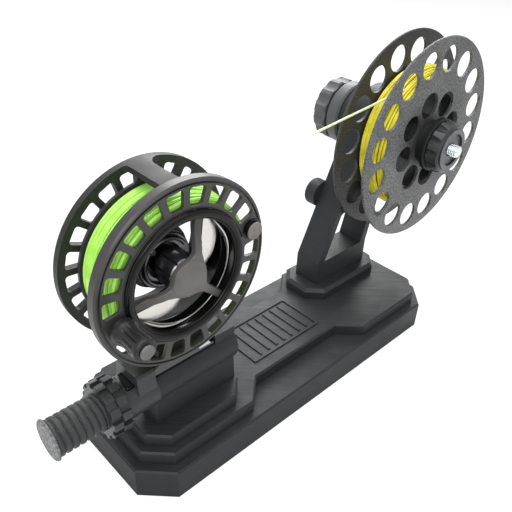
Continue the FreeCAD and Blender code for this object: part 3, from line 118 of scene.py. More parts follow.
class Look:
    """A node material under construction, with its Principled shader ready."""

    def __init__(self, name, **values):
        self.material = bpy.data.materials.new(name)
        self.material.use_nodes = True
        self.tree = self.material.node_tree
        self.tree.nodes.clear()
        self.shader = self.node("ShaderNodeBsdfPrincipled")
        self.output = self.node("ShaderNodeOutputMaterial")
        self.link(self.shader.outputs["BSDF"], self.output.inputs["Surface"])
        for key, value in values.items():
            self.shader.inputs[key.replace("_", " ")].default_value = value
        self.place = self.node("ShaderNodeTexCoord").outputs["Object"]

    def node(self, kind, **settings):
        made = self.tree.nodes.new(kind)
        for key, value in settings.items():
            setattr(made, key, value)
        return made

    def link(self, start, end):
        self.tree.links.new(start, end)

    def feed(self, socket, value):
        if isinstance(value, bpy.types.NodeSocket):
            self.link(value, socket)
        else:
            socket.default_value = value

    def math(self, operation, first, second=0.0, third=0.0):
        made = self.node("ShaderNodeMath", operation=operation)
        for socket, value in zip(made.inputs, (first, second, third)):
            self.feed(socket, value)
        return made.outputs[0]

    def split(self, vector):
        made = self.node("ShaderNodeSeparateXYZ")
        self.link(vector, made.inputs[0])
        return made.outputs

    def join(self, x, y, z):
        made = self.node("ShaderNodeCombineXYZ")
        for socket, value in zip(made.inputs, (x, y, z)):
            self.feed(socket, value)
        return made.outputs[0]

    def noise(self, vector, scale, detail=2.0, rough=0.5):
        made = self.node("ShaderNodeTexNoise")
        self.feed(made.inputs["Vector"], vector)
        made.inputs["Scale"].default_value = scale
        made.inputs["Detail"].default_value = detail
        made.inputs["Roughness"].default_value = rough
        return made.outputs["Fac"]

    def span(self, value, low, high, start, end):
        made = self.node("ShaderNodeMapRange", clamp=True)
        inputs = {"Value": value, "From Min": low, "From Max": high, "To Min": start, "To Max": end}
        for key, number in inputs.items():
            self.feed(made.inputs[key], number)
        return made.outputs[0]

    def blend(self, factor, first, second, kind="MIX"):
        made = self.node("ShaderNodeMix", data_type="RGBA", blend_type=kind)
        self.feed(made.inputs["Factor"], factor)
        self.feed(made.inputs[MIX_FIRST], first)
        self.feed(made.inputs[MIX_SECOND], second)
        return made.outputs[MIX_RESULT]

    def colour(self, value):
        self.feed(self.shader.inputs["Base Color"], value)

    def roughness(self, value):
        self.feed(self.shader.inputs["Roughness"], value)

    def bump(self, height, depth):
        made = self.node("ShaderNodeBump")
        made.inputs["Strength"].default_value = 1.0
        made.inputs["Distance"].default_value = depth * MM
        self.link(height, made.inputs["Height"])
        self.link(made.outputs[0], self.shader.inputs["Normal"])


def grey(level, warm=0.0):
    return (level * (1.0 + warm), level, level * (1.0 - warm), 1.0)


def printed(name, level, warm=-0.07, sheen=0.26, rough=0.50):
    """Printed plastic: layer lines round the sides, the last layer's diagonal strokes on top."""
    look = Look(name, Specular_IOR_Level=sheen)
    facing = look.split(look.node("ShaderNodeTexCoord").outputs["Normal"])
    top = look.span(look.math("ABSOLUTE", facing[2]), 0.75, 0.9, 0.0, 1.0)
    side = look.math("SUBTRACT", 1.0, top)
    x, y, z = look.split(look.place)
    across = look.math("MULTIPLY", look.math("ADD", x, y), 0.7071)
    along = look.math("MULTIPLY", look.math("SUBTRACT", x, y), 0.7071)
    run = look.join(across, look.math("MULTIPLY", along, 0.04), look.math("MULTIPLY", z, 0.1))
    strokes = look.noise(run, 950.0, 3.0, 0.65)
    layer = look.join(look.math("MULTIPLY", x, 0.03), look.math("MULTIPLY", y, 0.03), z)
    layers = look.noise(layer, 1500.0, 3.0, 0.6)
    speck = look.noise(look.place, 1500.0, 2.0, 0.7)
    cloud = look.noise(look.place, 60.0, 3.0, 0.6)
    fine = look.math("ADD", look.math("MULTIPLY", strokes, top), look.math("MULTIPLY", layers, side))
    mixed = look.math("MULTIPLY_ADD", cloud, 0.4, look.math("MULTIPLY", fine, 0.6))
    spread = look.span(top, 0.0, 1.0, 0.32, 0.17)
    tone = look.span(mixed, look.math("SUBTRACT", 0.5, spread), look.math("ADD", 0.5, spread), 0.0, 1.0)
    look.colour(look.blend(tone, grey(level * 0.72, warm), grey(level * 1.3, warm)))
    look.roughness(look.span(tone, 0.0, 1.0, rough * 1.2, rough * 0.8))
    look.bump(look.math("MULTIPLY_ADD", speck, 0.35, fine), 0.035)
    return look.material


def knob_print(name, side_level, lit_face_level, warm=-0.05):
    """Smooth printed grip: dark round its flutes, with painted light making it paler on its two flat faces.
    """
    look = Look(name, Specular_IOR_Level=0.45)
    facing = look.split(look.node("ShaderNodeTexCoord").outputs["Normal"])
    # Painted light: surfaces that face along Y, the grip's two flat faces, are made paler as if lit.
    face = look.span(look.math("ABSOLUTE", facing[1]), 0.8, 0.95, 0.0, 1.0)
    speck = look.noise(look.place, 1400.0, 2.0, 0.7)
    cloud = look.noise(look.place, 120.0, 3.0, 0.6)
    base = look.blend(face, grey(side_level, warm), grey(lit_face_level, warm))
    shade = look.blend(look.span(cloud, 0.3, 0.7, 0.0, 1.0), grey(0.75), grey(1.25))
    look.colour(look.blend(1.0, base, shade, "MULTIPLY"))
    look.roughness(look.span(speck, 0.3, 0.7, 0.42, 0.30))
    look.bump(speck, 0.02)
    return look.material


def anodised(name, level, rough, warm=0.03, sheen=0.5):
    """Satin anodised metal or smooth plastic, faintly clouded."""
    look = Look(name, Specular_IOR_Level=sheen)
    cloud = look.noise(look.place, 90.0, 3.0, 0.55)
    grain = look.noise(look.place, 2200.0, 2.0, 0.6)
    tone = look.span(cloud, 0.3, 0.7, 0.0, 1.0)
    look.colour(look.blend(tone, grey(level * 0.8, warm), grey(level * 1.2, warm)))
    look.roughness(look.span(cloud, 0.3, 0.7, rough * 0.85, rough * 1.2))
    look.bump(grain, 0.006)
    return look.material


def distance_from(look, centre):
    """Distance in metres from an axis along Y through centre."""
    x, _, z = look.split(look.place)
    dx = look.math("SUBTRACT", x, centre[0] * MM)
    dz = look.math("SUBTRACT", z, centre[1] * MM)
    return look.math("SQRT", look.math("ADD", look.math("MULTIPLY", dx, dx), look.math("MULTIPLY", dz, dz)))


def spider_satin(name, hub_level, shaded_rim_level):
    """Satin alloy with painted shade: pale on the hub and darkening along the arms with distance from the
    reel's axis.
    """
    look = Look(name, Specular_IOR_Level=0.5)
    radial_shade = look.span(distance_from(look, REEL), 10.0 * MM, 25.0 * MM, 0.0, 1.0)
    grain = look.noise(look.place, 2200.0, 2.0, 0.6)
    cloud = look.noise(look.place, 110.0, 3.0, 0.5)
    # Painted shade: the colour runs from the hub's level down to the darker rim level along the arms.
    look.colour(look.blend(radial_shade, grey(hub_level, 0.05), grey(shaded_rim_level, 0.04)))
    look.roughness(look.span(cloud, 0.3, 0.7, 0.34, 0.46))
    look.bump(grain, 0.006)
    return look.material


def grained(name, level, rough=0.5, warm=-0.02, hub=None):
    """Printed plastic from a textured plate: a fine speckle, with painted shade darkening it round the hub
    where one is given.
    """
    look = Look(name, Specular_IOR_Level=0.45)
    speck = look.noise(look.place, 850.0, 1.5, 0.85)
    cloud = look.noise(look.place, 45.0, 2.0, 0.5)
    mixed = look.math("MULTIPLY_ADD", cloud, 0.2, look.math("MULTIPLY", speck, 0.8))
    tone = look.span(mixed, 0.36, 0.64, 0.0, 1.0)
    if hub:
        # Painted shade: the tone is cut to 0.15 of itself near the hub and rises to full 36 mm out.
        radial_shade = look.span(distance_from(look, hub), 17.0 * MM, 36.0 * MM, 0.15, 1.0)
        tone = look.math("MULTIPLY", tone, radial_shade)
    look.colour(look.blend(tone, grey(level * 0.30, warm), grey(level * 1.70, warm)))
    look.roughness(look.span(speck, 0.3, 0.7, rough * 1.2, rough * 0.8))
    look.bump(speck, 0.06)
    return look.material


def metal(name, colour, rough, turned=None):
    """Bare metal with fine tool marks, round the Y axis through turned where it is given."""
    look = Look(name, Metallic=1.0)
    cloud = look.noise(look.place, 140.0, 3.0, 0.6)
    if turned:
        y = look.split(look.place)[1]
        round_axis = look.join(distance_from(look, turned), look.math("MULTIPLY", y, 0.3), 0.0)
        marks = look.noise(round_axis, 2400.0, 3.0, 0.7)
    else:
        marks = look.noise(look.place, 2600.0, 2.0, 0.6)
    dark = tuple(channel * 0.92 for channel in colour) + (1.0,)
    light = tuple(min(1.0, channel * 1.05) for channel in colour) + (1.0,)
    look.colour(look.blend(look.span(cloud, 0.3, 0.7, 0.0, 1.0), dark, light))
    look.roughness(look.span(cloud, 0.3, 0.7, rough * 0.9, rough * 1.15))
    look.bump(marks, 0.0012)
    return look.material


def line_coat(name, dark, light, rough):
    """Coated fly line: a smooth satin skin with slow changes of shade from turn to turn."""
    look = Look(name, Specular_IOR_Level=0.45)
    slow = look.noise(look.place, 160.0, 2.0, 0.5)
    skin = look.noise(look.place, 900.0, 3.0, 0.6)
    look.colour(look.blend(look.span(slow, 0.25, 0.75, 0.0, 1.0), dark + (1.0,), light + (1.0,)))
    look.roughness(look.span(skin, 0.3, 0.7, rough * 0.8, rough * 1.25))
    look.bump(skin, 0.008)
    return look.material


LOOKS = {
    "printed_black": printed("printed_black", 0.024, sheen=0.24),
    "printed_smooth": printed("printed_smooth", 0.030, sheen=0.42, rough=0.38),
    "printed_barrel": printed("printed_barrel", 0.042, warm=-0.03, sheen=0.30),
    # Painted shade: the front collar is the black printed plastic darkened for the deep shade round it.
    "printed_collar_shade": printed("printed_collar_shade", 0.010, sheen=0.20),
    "printed_knob": printed("printed_knob", 0.085, warm=-0.03, sheen=0.4),
    "front_grip": knob_print("front_grip", 0.026, 0.11),
    # One plastic in two copies: the front disc made pale as painted light, the rear disc and the core made
    # dark as painted shade.
    "printed_disc": grained("printed_disc", 0.112, hub=AXLE),
    "printed_disc_shaded": grained("printed_disc_shaded", 0.030),
    # Painted light: the barrel's end cap is the black printed plastic made pale, as its end catches light.
    "printed_cap": grained("printed_cap", 0.14),
    "anodised_black": anodised("anodised_black", 0.036, 0.40, sheen=0.45),
    "frame_black": anodised("frame_black", 0.022, 0.52, 0.0, 0.30),
    # Painted shade: near black, darker than the reel's own anodising, for the shade inside the bowl and
    # round the weight's stub.
    "shade_black": anodised("shade_black", 0.004, 0.18, 0.0, 0.22),
    "gloss_ring": anodised("gloss_ring", 0.004, 0.12, 0.0, 0.22),
    "glossy_foot": anodised("glossy_foot", 0.012, 0.10, 0.0, 0.7),
    "spider_satin": spider_satin("spider_satin", 0.095, 0.034),
    "polished_alloy": metal("polished_alloy", (0.66, 0.64, 0.61), 0.30, REEL),
    "black_chrome": metal("black_chrome", (0.16, 0.16, 0.17), 0.34, REEL),
    "hub_satin": anodised("hub_satin", 0.100, 0.40, 0.05),
    "weight_button": anodised("weight_button", 0.15, 0.40, 0.06),
    "pin_cap": anodised("pin_cap", 0.12, 0.42, 0.0),
    "bright_steel": metal("bright_steel", (0.62, 0.62, 0.62), 0.18),
    "zinc_rod": metal("zinc_rod", (0.74, 0.81, 0.86), 0.16),
    "black_steel": anodised("black_steel", 0.018, 0.34, 0.0),
    "ballast_steel": metal("ballast_steel", (0.42, 0.41, 0.40), 0.45),
    "brass_insert": metal("brass_insert", (0.70, 0.52, 0.25), 0.25),
    "handle_black": anodised("handle_black", 0.016, 0.34, 0.0, 0.32),
    "green_line": line_coat("green_line", (0.33, 0.76, 0.06), (0.55, 0.95, 0.20), 0.40),
    # The green and yellow beds are painted dark as the shade in the gaps between the turns of line.
    "green_painted_shade": line_coat("green_painted_shade", (0.07, 0.20, 0.01), (0.12, 0.30, 0.02), 0.50),
    "yellow_line": line_coat("yellow_line", (0.66, 0.58, 0.015), (0.93, 0.86, 0.07), 0.40),
    "yellow_painted_shade": line_coat("yellow_painted_shade", (0.11, 0.09, 0.004), (0.18, 0.15, 0.008), 0.50),
    "pale_line": line_coat("pale_line", (0.62, 0.74, 0.36), (0.80, 0.88, 0.58), 0.32),
}

NODE_LOOKS = {
    "printed_black": ("base_body", "bottom_cover", "seat_pedestal", "arm_post", "post_peg"),
    "printed_smooth": ("sliding_hood", "seat_nut", "lock_nut"),
    "printed_barrel": ("seat_barrel",),
    "printed_collar_shade": ("front_collar",),
    "front_grip": ("front_knob",),
    "printed_knob": ("rear_flange", "rear_knob"),
    "printed_cap": ("barrel_end_cap",),
    "printed_disc": ("front_spool_disc",),
    "printed_disc_shaded": ("rear_spool_disc", "spool_core"),
    "anodised_black": ("drag_housing", "drag_knob", "reel_spool", "counterweight"),
    "frame_black": ("reel_frame",),
    "glossy_foot": ("reel_foot",),
    "spider_satin": ("spool_spider", "hub_cap"),
    "black_chrome": ("clutch_ring",),
    "bright_steel": ("reel_spindle", "reel_bearings", "handle_pin", "axle_bearings", "bearing_spacer",
                     "front_spacer"),
    "zinc_rod": ("axle_rod",),
    "black_steel": ("cover_screws", "pedestal_bolts", "seat_screw", "foot_screws", "post_bolts", "peg_screw",
                    "flange_screws"),
    "ballast_steel": ("ballast_bars",),
    "brass_insert": ("front_insert",),
    "handle_black": ("handle_knob",),
    "green_line": ("green_line_winding",),
    "yellow_line": ("yellow_line_winding",),
    "pale_line": ("yellow_line_tail",),
}

for look_name, node_names in NODE_LOOKS.items():
    for node_name in node_names:
        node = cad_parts[node_name]
        if not node.material_slots:
            node.data.materials.append(LOOKS[look_name])
        for slot in node.material_slots:
            slot.material = LOOKS[look_name]

line_tail.data.materials.append(LOOKS["pale_line"])


# ---------------------------------------------------------------- mesh helpers


def piece(name, points, faces, look, body, replaced=(), sharp=35.0):
    """A new mesh object from points in millimetres, dressed and riding on its body."""
    mesh = bpy.data.meshes.new(name)
    mesh.from_pydata([(x * MM, y * MM, z * MM) for x, y, z in points], [], faces)
    work = bmesh.new()
    work.from_mesh(mesh)
    bmesh.ops.remove_doubles(work, verts=work.verts, dist=1e-7)
    bmesh.ops.recalc_face_normals(work, faces=work.faces)
    work.to_mesh(mesh)
    work.free()
    mesh.shade_smooth()
    mesh.set_sharp_from_angle(angle=math.radians(sharp))
    mesh.materials.append(LOOKS[look])
    made = bpy.data.objects.new(name, mesh)
    bpy.context.scene.collection.objects.link(made)
    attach(made, body)
    if replaced:
        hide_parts(*replaced)
    return made


def loft(rings, capped=False):
    """Points and faces through closed rings of equal length; capped fills the first and the last."""
    count = len(rings[0])
    points = [place for ring in rings for place in ring]
    faces = []
    for row in range(len(rings) - 1):
        here = row * count
        above = here + count
        for step in range(count):
            after = (step + 1) % count
            faces.append((here + step, here + after, above + after, above + step))
    if capped:
        faces.append(tuple(range(count)))
        faces.append(tuple(range((len(rings) - 1) * count, len(rings) * count)))
    return points, faces


def about_y(centre, radius, angle, y):
    return (centre[0] + radius * math.cos(angle), y, centre[1] + radius * math.sin(angle))


def about_x(centre, radius, angle, x):
    return (x, centre[0] + radius * math.cos(angle), centre[1] + radius * math.sin(angle))


def circle_steps(count):
    return [2.0 * math.pi * step / count for step in range(count)]


def merge(parts):
    """Several (points, faces) pairs as one."""
    points = []
    faces = []
    for more_points, more_faces in parts:
        start = len(points)
        points.extend(more_points)
        faces.extend(tuple(start + index for index in face) for face in more_faces)
    return points, faces


def smooth_step(value):
    value = max(0.0, min(1.0, value))
    return value * value * (3.0 - 2.0 * value)


def lathe(centre, profile, count, shape=None):
    """A surface round an axis along Y, from (radius, y); shape changes the radius by angle and y."""
    rings = []
    for radius, y in profile:
        ring = []
        for angle in circle_steps(count):
            ring.append(about_y(centre, shape(radius, angle, y) if shape else radius, angle, y))
        rings.append(ring)
    return loft(rings)


def tube(path, radius, sides):
    """A round tube along path, with flat ends."""
    rings = []
    side = None
    for index, place in enumerate(path):
        here = Vector(place)
        ahead = Vector(path[min(index + 1, len(path) - 1)]) - Vector(path[max(index - 1, 0)])
        ahead.normalize()
        if side is None:
            side = ahead.orthogonal().normalized()
        side = (side - ahead * side.dot(ahead)).normalized()
        over = ahead.cross(side)
        ring = []
        for angle in circle_steps(sides):
            ring.append(tuple(here + side * (radius * math.cos(angle)) + over * (radius * math.sin(angle))))
        rings.append(ring)
    return loft(rings, capped=True)


# ---------------------------------------------------------------- threaded barrel of the reel seat

def seat_barrel():
    """A coarse round thread, plain toward the pedestal and cut flat on top under the reel's foot."""
    start = -159.3
    end = -104.5
    thread_start = -158.7
    thread_end = -121.0
    first = -157.7
    pitch = 3.6
    crest = 9.6
    core = 8.7
    flank = 0.95
    edge = 0.9
    flat_start = -123.0
    flat_z = 68.0
    stations = []
    x = start
    while x < thread_end:
        stations.append(x)
        x += 0.3
    stations += [thread_end, -115.0, -110.0, end]
    rings = []
    for x in stations:
        ring = []
        for angle in circle_steps(96):
            radius = crest
            if thread_start < x < thread_end:
                phase = ((x - first) / pitch - angle / (2.0 * math.pi)) % 1.0
                distance = min(phase, 1.0 - phase) * pitch
                radius = core + (crest - core) * smooth_step(distance / flank)
            if x < start + edge:
                radius -= edge - math.sqrt(max(0.0, edge * edge - (edge - (x - start)) ** 2))
            place = about_x(SEAT, radius, angle, x)
            if x > flat_start and place[2] > flat_z:
                place = (place[0], place[1], flat_z)
            ring.append(place)
        rings.append(ring)
    points, faces = loft(rings, capped=True)
    piece("threaded_barrel", points, faces, "printed_barrel", "base", ["seat_barrel"], 50.0)


# ---------------------------------------------------------------- threaded rod through the post

def axle_rod():
    """An M8 thread with a chamfer at each end."""
    pitch = 1.25
    outer = 3.95
    root = 3.35
    start = -43.2
    end = 60.0
    tip = 3.0
    chamfer = 0.9
    rings = []
    steps = int((end - start) / pitch * 4)
    for row in range(steps + 1):
        y = start + (end - start) * row / steps
        ring = []
        for angle in circle_steps(28):
            phase = (y / pitch - angle / (2.0 * math.pi)) % 1.0
            radius = root + (outer - root) * abs(2.0 * phase - 1.0)
            radius = min(radius, tip + (y - start) * chamfer, tip + (end - y) * chamfer)
            ring.append(about_y(AXLE, radius, angle, y))
        rings.append(ring)
    points, faces = loft(rings, capped=True)
    piece("threaded_rod", points, faces, "zinc_rod", "line_spool", ["axle_rod"], 25.0)


# ---------------------------------------------------------------- line windings

STEPS_PER_TURN = 72


def strands(centre, start, end, surface, radius, layer):
    """One layer of line round an axis along Y: turns, sweeps from side to side, lift, seed and wobble."""
    turns, sweeps, lift, seed, wobble = layer
    draw = random.Random(seed)
    rise = [draw.uniform(-1.0, 1.0) for _ in range(int(turns) + 3)]
    path = []
    for step in range(int(turns * STEPS_PER_TURN)):
        turn = step / STEPS_PER_TURN
        sweep = (turn * sweeps / turns) % 2.0
        share = sweep if sweep <= 1.0 else 2.0 - sweep
        drift = noise.noise(Vector((turn * 1.3, seed * 3.1, 0.5)))
        y = start + radius + (end - start - 2.0 * radius) * share + drift * wobble
        y = max(start + radius, min(end - radius, y))
        whole = int(turn)
        height = lift + (rise[whole] + (rise[whole + 1] - rise[whole]) * (turn - whole)) * 0.2
        path.append(about_y(centre, surface(y) - radius + height, 2.0 * math.pi * turn, y))
    return tube(path, radius, 8)


def winding(name, centre, inner, start, end, depth, crown, radius, looks, body, node_name, layers):
    """Turns of line over a bed painted dark as the shade in the gaps between turns; the top layer stands up
    to 0.5 mm above the winding's solid.
    """
    middle = (start + end) / 2.0
    half = (end - start) / 2.0
    coat, shade = looks

    def surface(y):
        return inner + depth + crown * (1.0 - ((y - middle) / half) ** 2)

    profile = [(inner + 0.05, start), (inner + 0.05, end)]
    for step in range(17):
        y = end + (start - end) * step / 16
        profile.append((surface(y) - radius * 2.6, y))
    profile.append(profile[0])
    points, faces = lathe(centre, profile, 96)
    piece(name + "_bed", points, faces, shade, body, [node_name], 80.0)
    points, faces = merge([strands(centre, start, end, surface, radius, layer) for layer in layers])
    piece(name, points, faces, coat, body, [node_name], 80.0)


# ---------------------------------------------------------------- reel centre

MIRROR = math.radians(-95.0)

# Arms of the spider as start, end, and half their width at each, in (x, z) from the reel's axis.
LONG_ARM = ((4.4, 6.0), (7.9, 29.5), 1.9, 2.2)
SHORT_ARM = ((5.0, -5.4), (20.6, -20.6), 2.2, 1.9)


def mirrored(x, z):
    """The same place on the other side of the short arm."""
    radius = math.hypot(x, z)
    angle = MIRROR - math.atan2(z, x)
    return radius * math.cos(angle), radius * math.sin(angle)


def bar_distance(x, z, start, end, half_start, half_end):
    """Signed distance to a tapered bar with round ends."""
    ax, az = start
    bx, bz = end[0] - ax, end[1] - az
    share = ((x - ax) * bx + (z - az) * bz) / (bx * bx + bz * bz)
    share = max(0.0, min(1.0, share))
    half = half_start + (half_end - half_start) * share
    return math.hypot(x - ax - bx * share, z - az - bz * share) - half


def soft_min(first, second, reach):
    """The smaller of two distances, rounded where they meet."""
    gap = max(reach - abs(first - second), 0.0) / reach
    return min(first, second) - gap * gap * reach * 0.25


def spider_distance(x, z):
    """Signed distance to the hub and its three arms, which flow into it."""
    found = math.hypot(x, z) - 9.2
    arms = (bar_distance(x, z, *LONG_ARM), bar_distance(*mirrored(x, z), *LONG_ARM),
            bar_distance(x, z, *SHORT_ARM))
    for arm in arms:
        found = soft_min(found, arm, 5.0)
    return found


def spider_front(x, z):
    """Place of the spider's front face: level with the flange at the rim, raised at the hub."""
    radius = math.hypot(x, z)
    return -35.6 + 3.4 * smooth_step((radius - 8.5) / 18.0)


def contour_plate(distance, reach, cell, front, thick, edge):
    """A plate whose outline is where distance is zero, as points and faces in the reel's own plane."""
    count = int(2 * reach / cell)
    values = {}
    for column in range(count + 1):
        for row in range(count + 1):
            values[column, row] = distance(-reach + column * cell, -reach + row * cell)
    points = []
    known = {}

    def corner(column, row):
        key = (column, row)
        if key not in known:
            known[key] = len(points)
            points.append((-reach + column * cell, -reach + row * cell, values[key]))
        return known[key]

    def crossing(first, second):
        key = (min(first, second), max(first, second))
        if key not in known:
            low, high = values[key[0]], values[key[1]]
            share = low / (low - high)
            x = -reach + (key[0][0] + (key[1][0] - key[0][0]) * share) * cell
            z = -reach + (key[0][1] + (key[1][1] - key[0][1]) * share) * cell
            known[key] = len(points)
            points.append((x, z, 0.0))
        return known[key]

    faces = []
    rim = []
    for column in range(count):
        for row in range(count):
            loop = [(column, row), (column + 1, row), (column + 1, row + 1), (column, row + 1)]
            polygon = []
            cuts = []
            for index in range(4):
                here, after = loop[index], loop[(index + 1) % 4]
                if values[here] < 0:
                    polygon.append(corner(*here))
                if (values[here] < 0) != (values[after] < 0):
                    cut = crossing(here, after)
                    polygon.append(cut)
                    cuts.append(cut)
            if len(polygon) >= 3:
                faces.append(tuple(polygon))
            if len(cuts) == 2:
                rim.append(tuple(cuts))
    total = len(points)
    solid = []
    for x, z, inside in points:
        near = max(0.0, edge + inside)
        drop = edge - math.sqrt(max(0.0, edge * edge - near * near))
        solid.append((REEL[0] + x, front(x, z) + drop, REEL[1] + z))
    for x, z, _ in points:
        solid.append((REEL[0] + x, front(x, z) + thick, REEL[1] + z))
    every = list(faces)
    every += [tuple(total + index for index in reversed(face)) for face in faces]
    every += [(a, b, total + b, total + a) for a, b in rim]
    return solid, every


def spider():
    points, faces = contour_plate(spider_distance, 31.0, 0.45, spider_front, 3.0, 0.5)
    piece("spider_bars", points, faces, "spider_satin", "reel", ["spool_spider"], 45.0)


def leaf(flip):
    """A broad polished blade beside an arm, sloping back a little toward its outer side."""
    thick = 1.2
    rows = 36
    columns = 14
    inner = [(7.6, 3.0), (8.2, 8.0), (9.0, 14.0), (9.6, 20.0), (10.2, 25.0), (11.4, 27.4)]
    outer = [(12.4, 0.4), (16.4, 4.8), (18.3, 11.0), (18.1, 17.4), (16.0, 23.4), (12.4, 27.4)]

    def along(line, share):
        """Place at a share of the smooth curve through line's points."""
        spot = share * (len(line) - 1)
        index = min(int(spot), len(line) - 2)
        near, far = line[index], line[index + 1]
        part = spot - index
        before = line[max(index - 1, 0)]
        after = line[min(index + 2, len(line) - 1)]
        both = []
        for axis in (0, 1):
            p0, p1, p2, p3 = before[axis], near[axis], far[axis], after[axis]
            both.append(0.5 * (2 * p1 + (p2 - p0) * part + (2 * p0 - 5 * p1 + 4 * p2 - p3) * part ** 2
                               + (3 * p1 - p0 - 3 * p2 + p3) * part ** 3))
        return both

    rings = []
    for row in range(rows + 1):
        share = row / rows
        near = along(inner, share)
        far = along(outer, share)
        front = []
        back = []
        for column in range(columns + 1):
            over = column / columns
            x = near[0] + (far[0] - near[0]) * over
            z = near[1] + (far[1] - near[1]) * over
            y = -31.7 + 1.3 * over - 0.5 * math.sin(math.pi * over)
            if flip:
                x, z = mirrored(x, z)
            front.append((REEL[0] + x, y, REEL[1] + z))
            back.append((REEL[0] + x, y + thick, REEL[1] + z))
        rings.append(front + list(reversed(back)))
    return loft(rings, capped=True)


def blades():
    points, faces = merge([leaf(False), leaf(True)])
    piece("spider_blades", points, faces, "polished_alloy", "reel", ["spool_spider"], 40.0)


def plate_distance(x, z):
    """Rounded three-sided plate: a disc drawn out a little toward each arm."""
    found = math.hypot(x, z) - 7.9
    for angle in (71.0, -45.0, -166.0):
        turn = math.radians(angle)
        lobe = math.hypot(x - 4.6 * math.cos(turn), z - 4.6 * math.sin(turn)) - 5.2
        found = soft_min(found, lobe, 3.0)
    return found


def plate_front(x, z):
    """Slightly crowned face of the hub plate."""
    return -36.1 + 0.3 * (math.hypot(x, z) / 9.5) ** 2


def hub_plate():
    points, faces = contour_plate(plate_distance, 12.0, 0.3, plate_front, 0.6, 0.25)
    piece("hub_plate", points, faces, "hub_satin", "reel", ["hub_cap"], 50.0)


def bowl_lining():
    """The turned inner wall of the arbor, painted near black as the shade inside the bowl."""
    profile = [(28.45, -33.6), (28.1, -33.2), (27.9, -32.2), (28.2, -31.6), (28.2, -24.4), (27.8, -24.0),
               (27.8, -23.0), (28.2, -22.6), (28.2, -6.0), (28.45, -5.0), (28.48, -5.0), (28.48, -33.6),
               (28.45, -33.6)]
    points, faces = lathe(REEL, profile, 180)
    piece("bowl_lining", points, faces, "shade_black", "reel", (), 50.0)


def mouth_ring():
    """The black glossy ring round the bowl's mouth, rounded and with a small step at each edge."""
    profile = [(28.5, -33.0), (28.55, -34.0), (28.9, -34.15), (29.0, -34.05)]
    for step in range(13):
        angle = math.pi * step / 12
        profile.append((30.75 - 1.7 * math.cos(angle), -34.0 - 0.75 * math.sin(angle)))
    profile += [(32.55, -34.05), (32.9, -33.95), (33.05, -33.7), (33.05, -33.0), (28.5, -33.0)]
    points, faces = lathe(REEL, profile, 216)
    piece("mouth_ring", points, faces, "gloss_ring", "reel", (), 40.0)


def bowl_highlight_bead():
    """A bright bead on the bowl's wall from one blade round to the other, thickest beside the blades; its
    pale polished alloy is a painted highlight for the bright arcs on the black wall.
    """
    rings = []
    rows = 120
    for row in range(rows + 1):
        share = row / rows
        angle = math.radians(58.0 - 211.0 * share)
        near_end = min(share, 1.0 - share)
        thick = 0.28 + 1.6 * smooth_step(near_end / 0.12) * (1.0 - smooth_step((near_end - 0.12) / 0.22))
        ring = []
        for turn in circle_steps(12):
            radius = 27.9 - thick * (0.5 + 0.5 * math.cos(turn))
            ring.append(about_y(REEL, radius, angle, -28.4 + thick * math.sin(turn)))
        rings.append(ring)
    points, faces = loft(rings, capped=True)
    piece("bowl_highlight_bead", points, faces, "polished_alloy", "reel", ["spool_spider"], 50.0)


def hub_core():
    """The hub behind the spider: a barrel with grooves along it."""
    grooves = 9.0

    def grooved(radius, angle, y):
        lobe = (angle / (2.0 * math.pi) * grooves) % 1.0
        groove = min(lobe, 1.0 - lobe) * 2.0 * math.pi * radius / grooves
        depth = 0.9 * (1.0 - smooth_step(groove / 0.55))
        return radius - depth if -31.0 < y < -20.4 else radius

    profile = [(6.0, -32.2), (7.6, -32.2), (8.6, -31.4), (8.9, -30.9), (9.1, -26.0), (9.1, -21.0),
               (8.7, -20.3), (7.6, -19.9), (7.2, -14.1), (6.0, -14.1)]
    points, faces = lathe(REEL, profile, 180, grooved)
    piece("hub_core", points, faces, "black_chrome", "reel", ["spool_spider"], 30.0)


def clutch():
    """The plate round the hub's foot, the open ring on it, and the ring's clasp."""
    plate = [(9.4, -16.2), (13.9, -16.2), (14.5, -15.6), (14.5, -14.0), (9.4, -14.0), (9.4, -16.2)]
    ring_radius = 12.0
    ring = [about_y(REEL, ring_radius, math.radians(30.0 + 296.0 * step / 60), -17.4) for step in range(61)]
    x, _, z = about_y(REEL, ring_radius, math.radians(132.0), 0.0)
    clasp = [(0.2, -19.4), (1.3, -19.4), (1.6, -19.1), (1.6, -16.4), (0.2, -16.4)]
    points, faces = merge([lathe(REEL, plate, 96), tube(ring, 1.05, 16), lathe((x, z), clasp, 24)])
    piece("clutch_clip", points, faces, "black_chrome", "reel", ["clutch_ring"], 30.0)


# ---------------------------------------------------------------- counterweight and handle

def counterweight():
    """A stub painted near black as the shade in the weight's opening, with a pale dished button on its end.
    """
    x, _, z = about_y(REEL, 39.5, math.radians(15.0), 0.0)
    centre = (x, z)
    stub = [(0.2, -32.7), (5.3, -32.7), (5.3, -33.0), (4.3, -33.2), (3.9, -35.0), (0.2, -35.0)]
    points, faces = lathe(centre, stub, 48)
    piece("weight_stub", points, faces, "shade_black", "reel", ["counterweight"], 40.0)
    button = [(0.2, -35.3), (2.6, -35.55), (3.7, -35.95), (4.2, -36.0), (4.45, -35.7), (4.4, -35.2),
              (3.8, -34.9), (0.2, -34.9), (0.2, -35.3)]
    points, faces = lathe(centre, button, 64)
    piece("weight_button", points, faces, "weight_button", "reel", ["counterweight"], 50.0)


def pin_cap():
    """The grey dished cap on the end of the handle's pin."""
    cap = [(0.15, -53.1), (2.1, -53.2), (2.7, -53.55), (3.1, -53.6), (3.4, -53.3), (3.45, -52.8),
           (3.3, -52.45), (2.0, -52.4), (1.98, -30.8), (0.15, -30.8)]
    points, faces = lathe(HANDLE, cap, 64)
    piece("pin_cap", points, faces, "pin_cap", "reel", ["handle_pin"], 50.0)


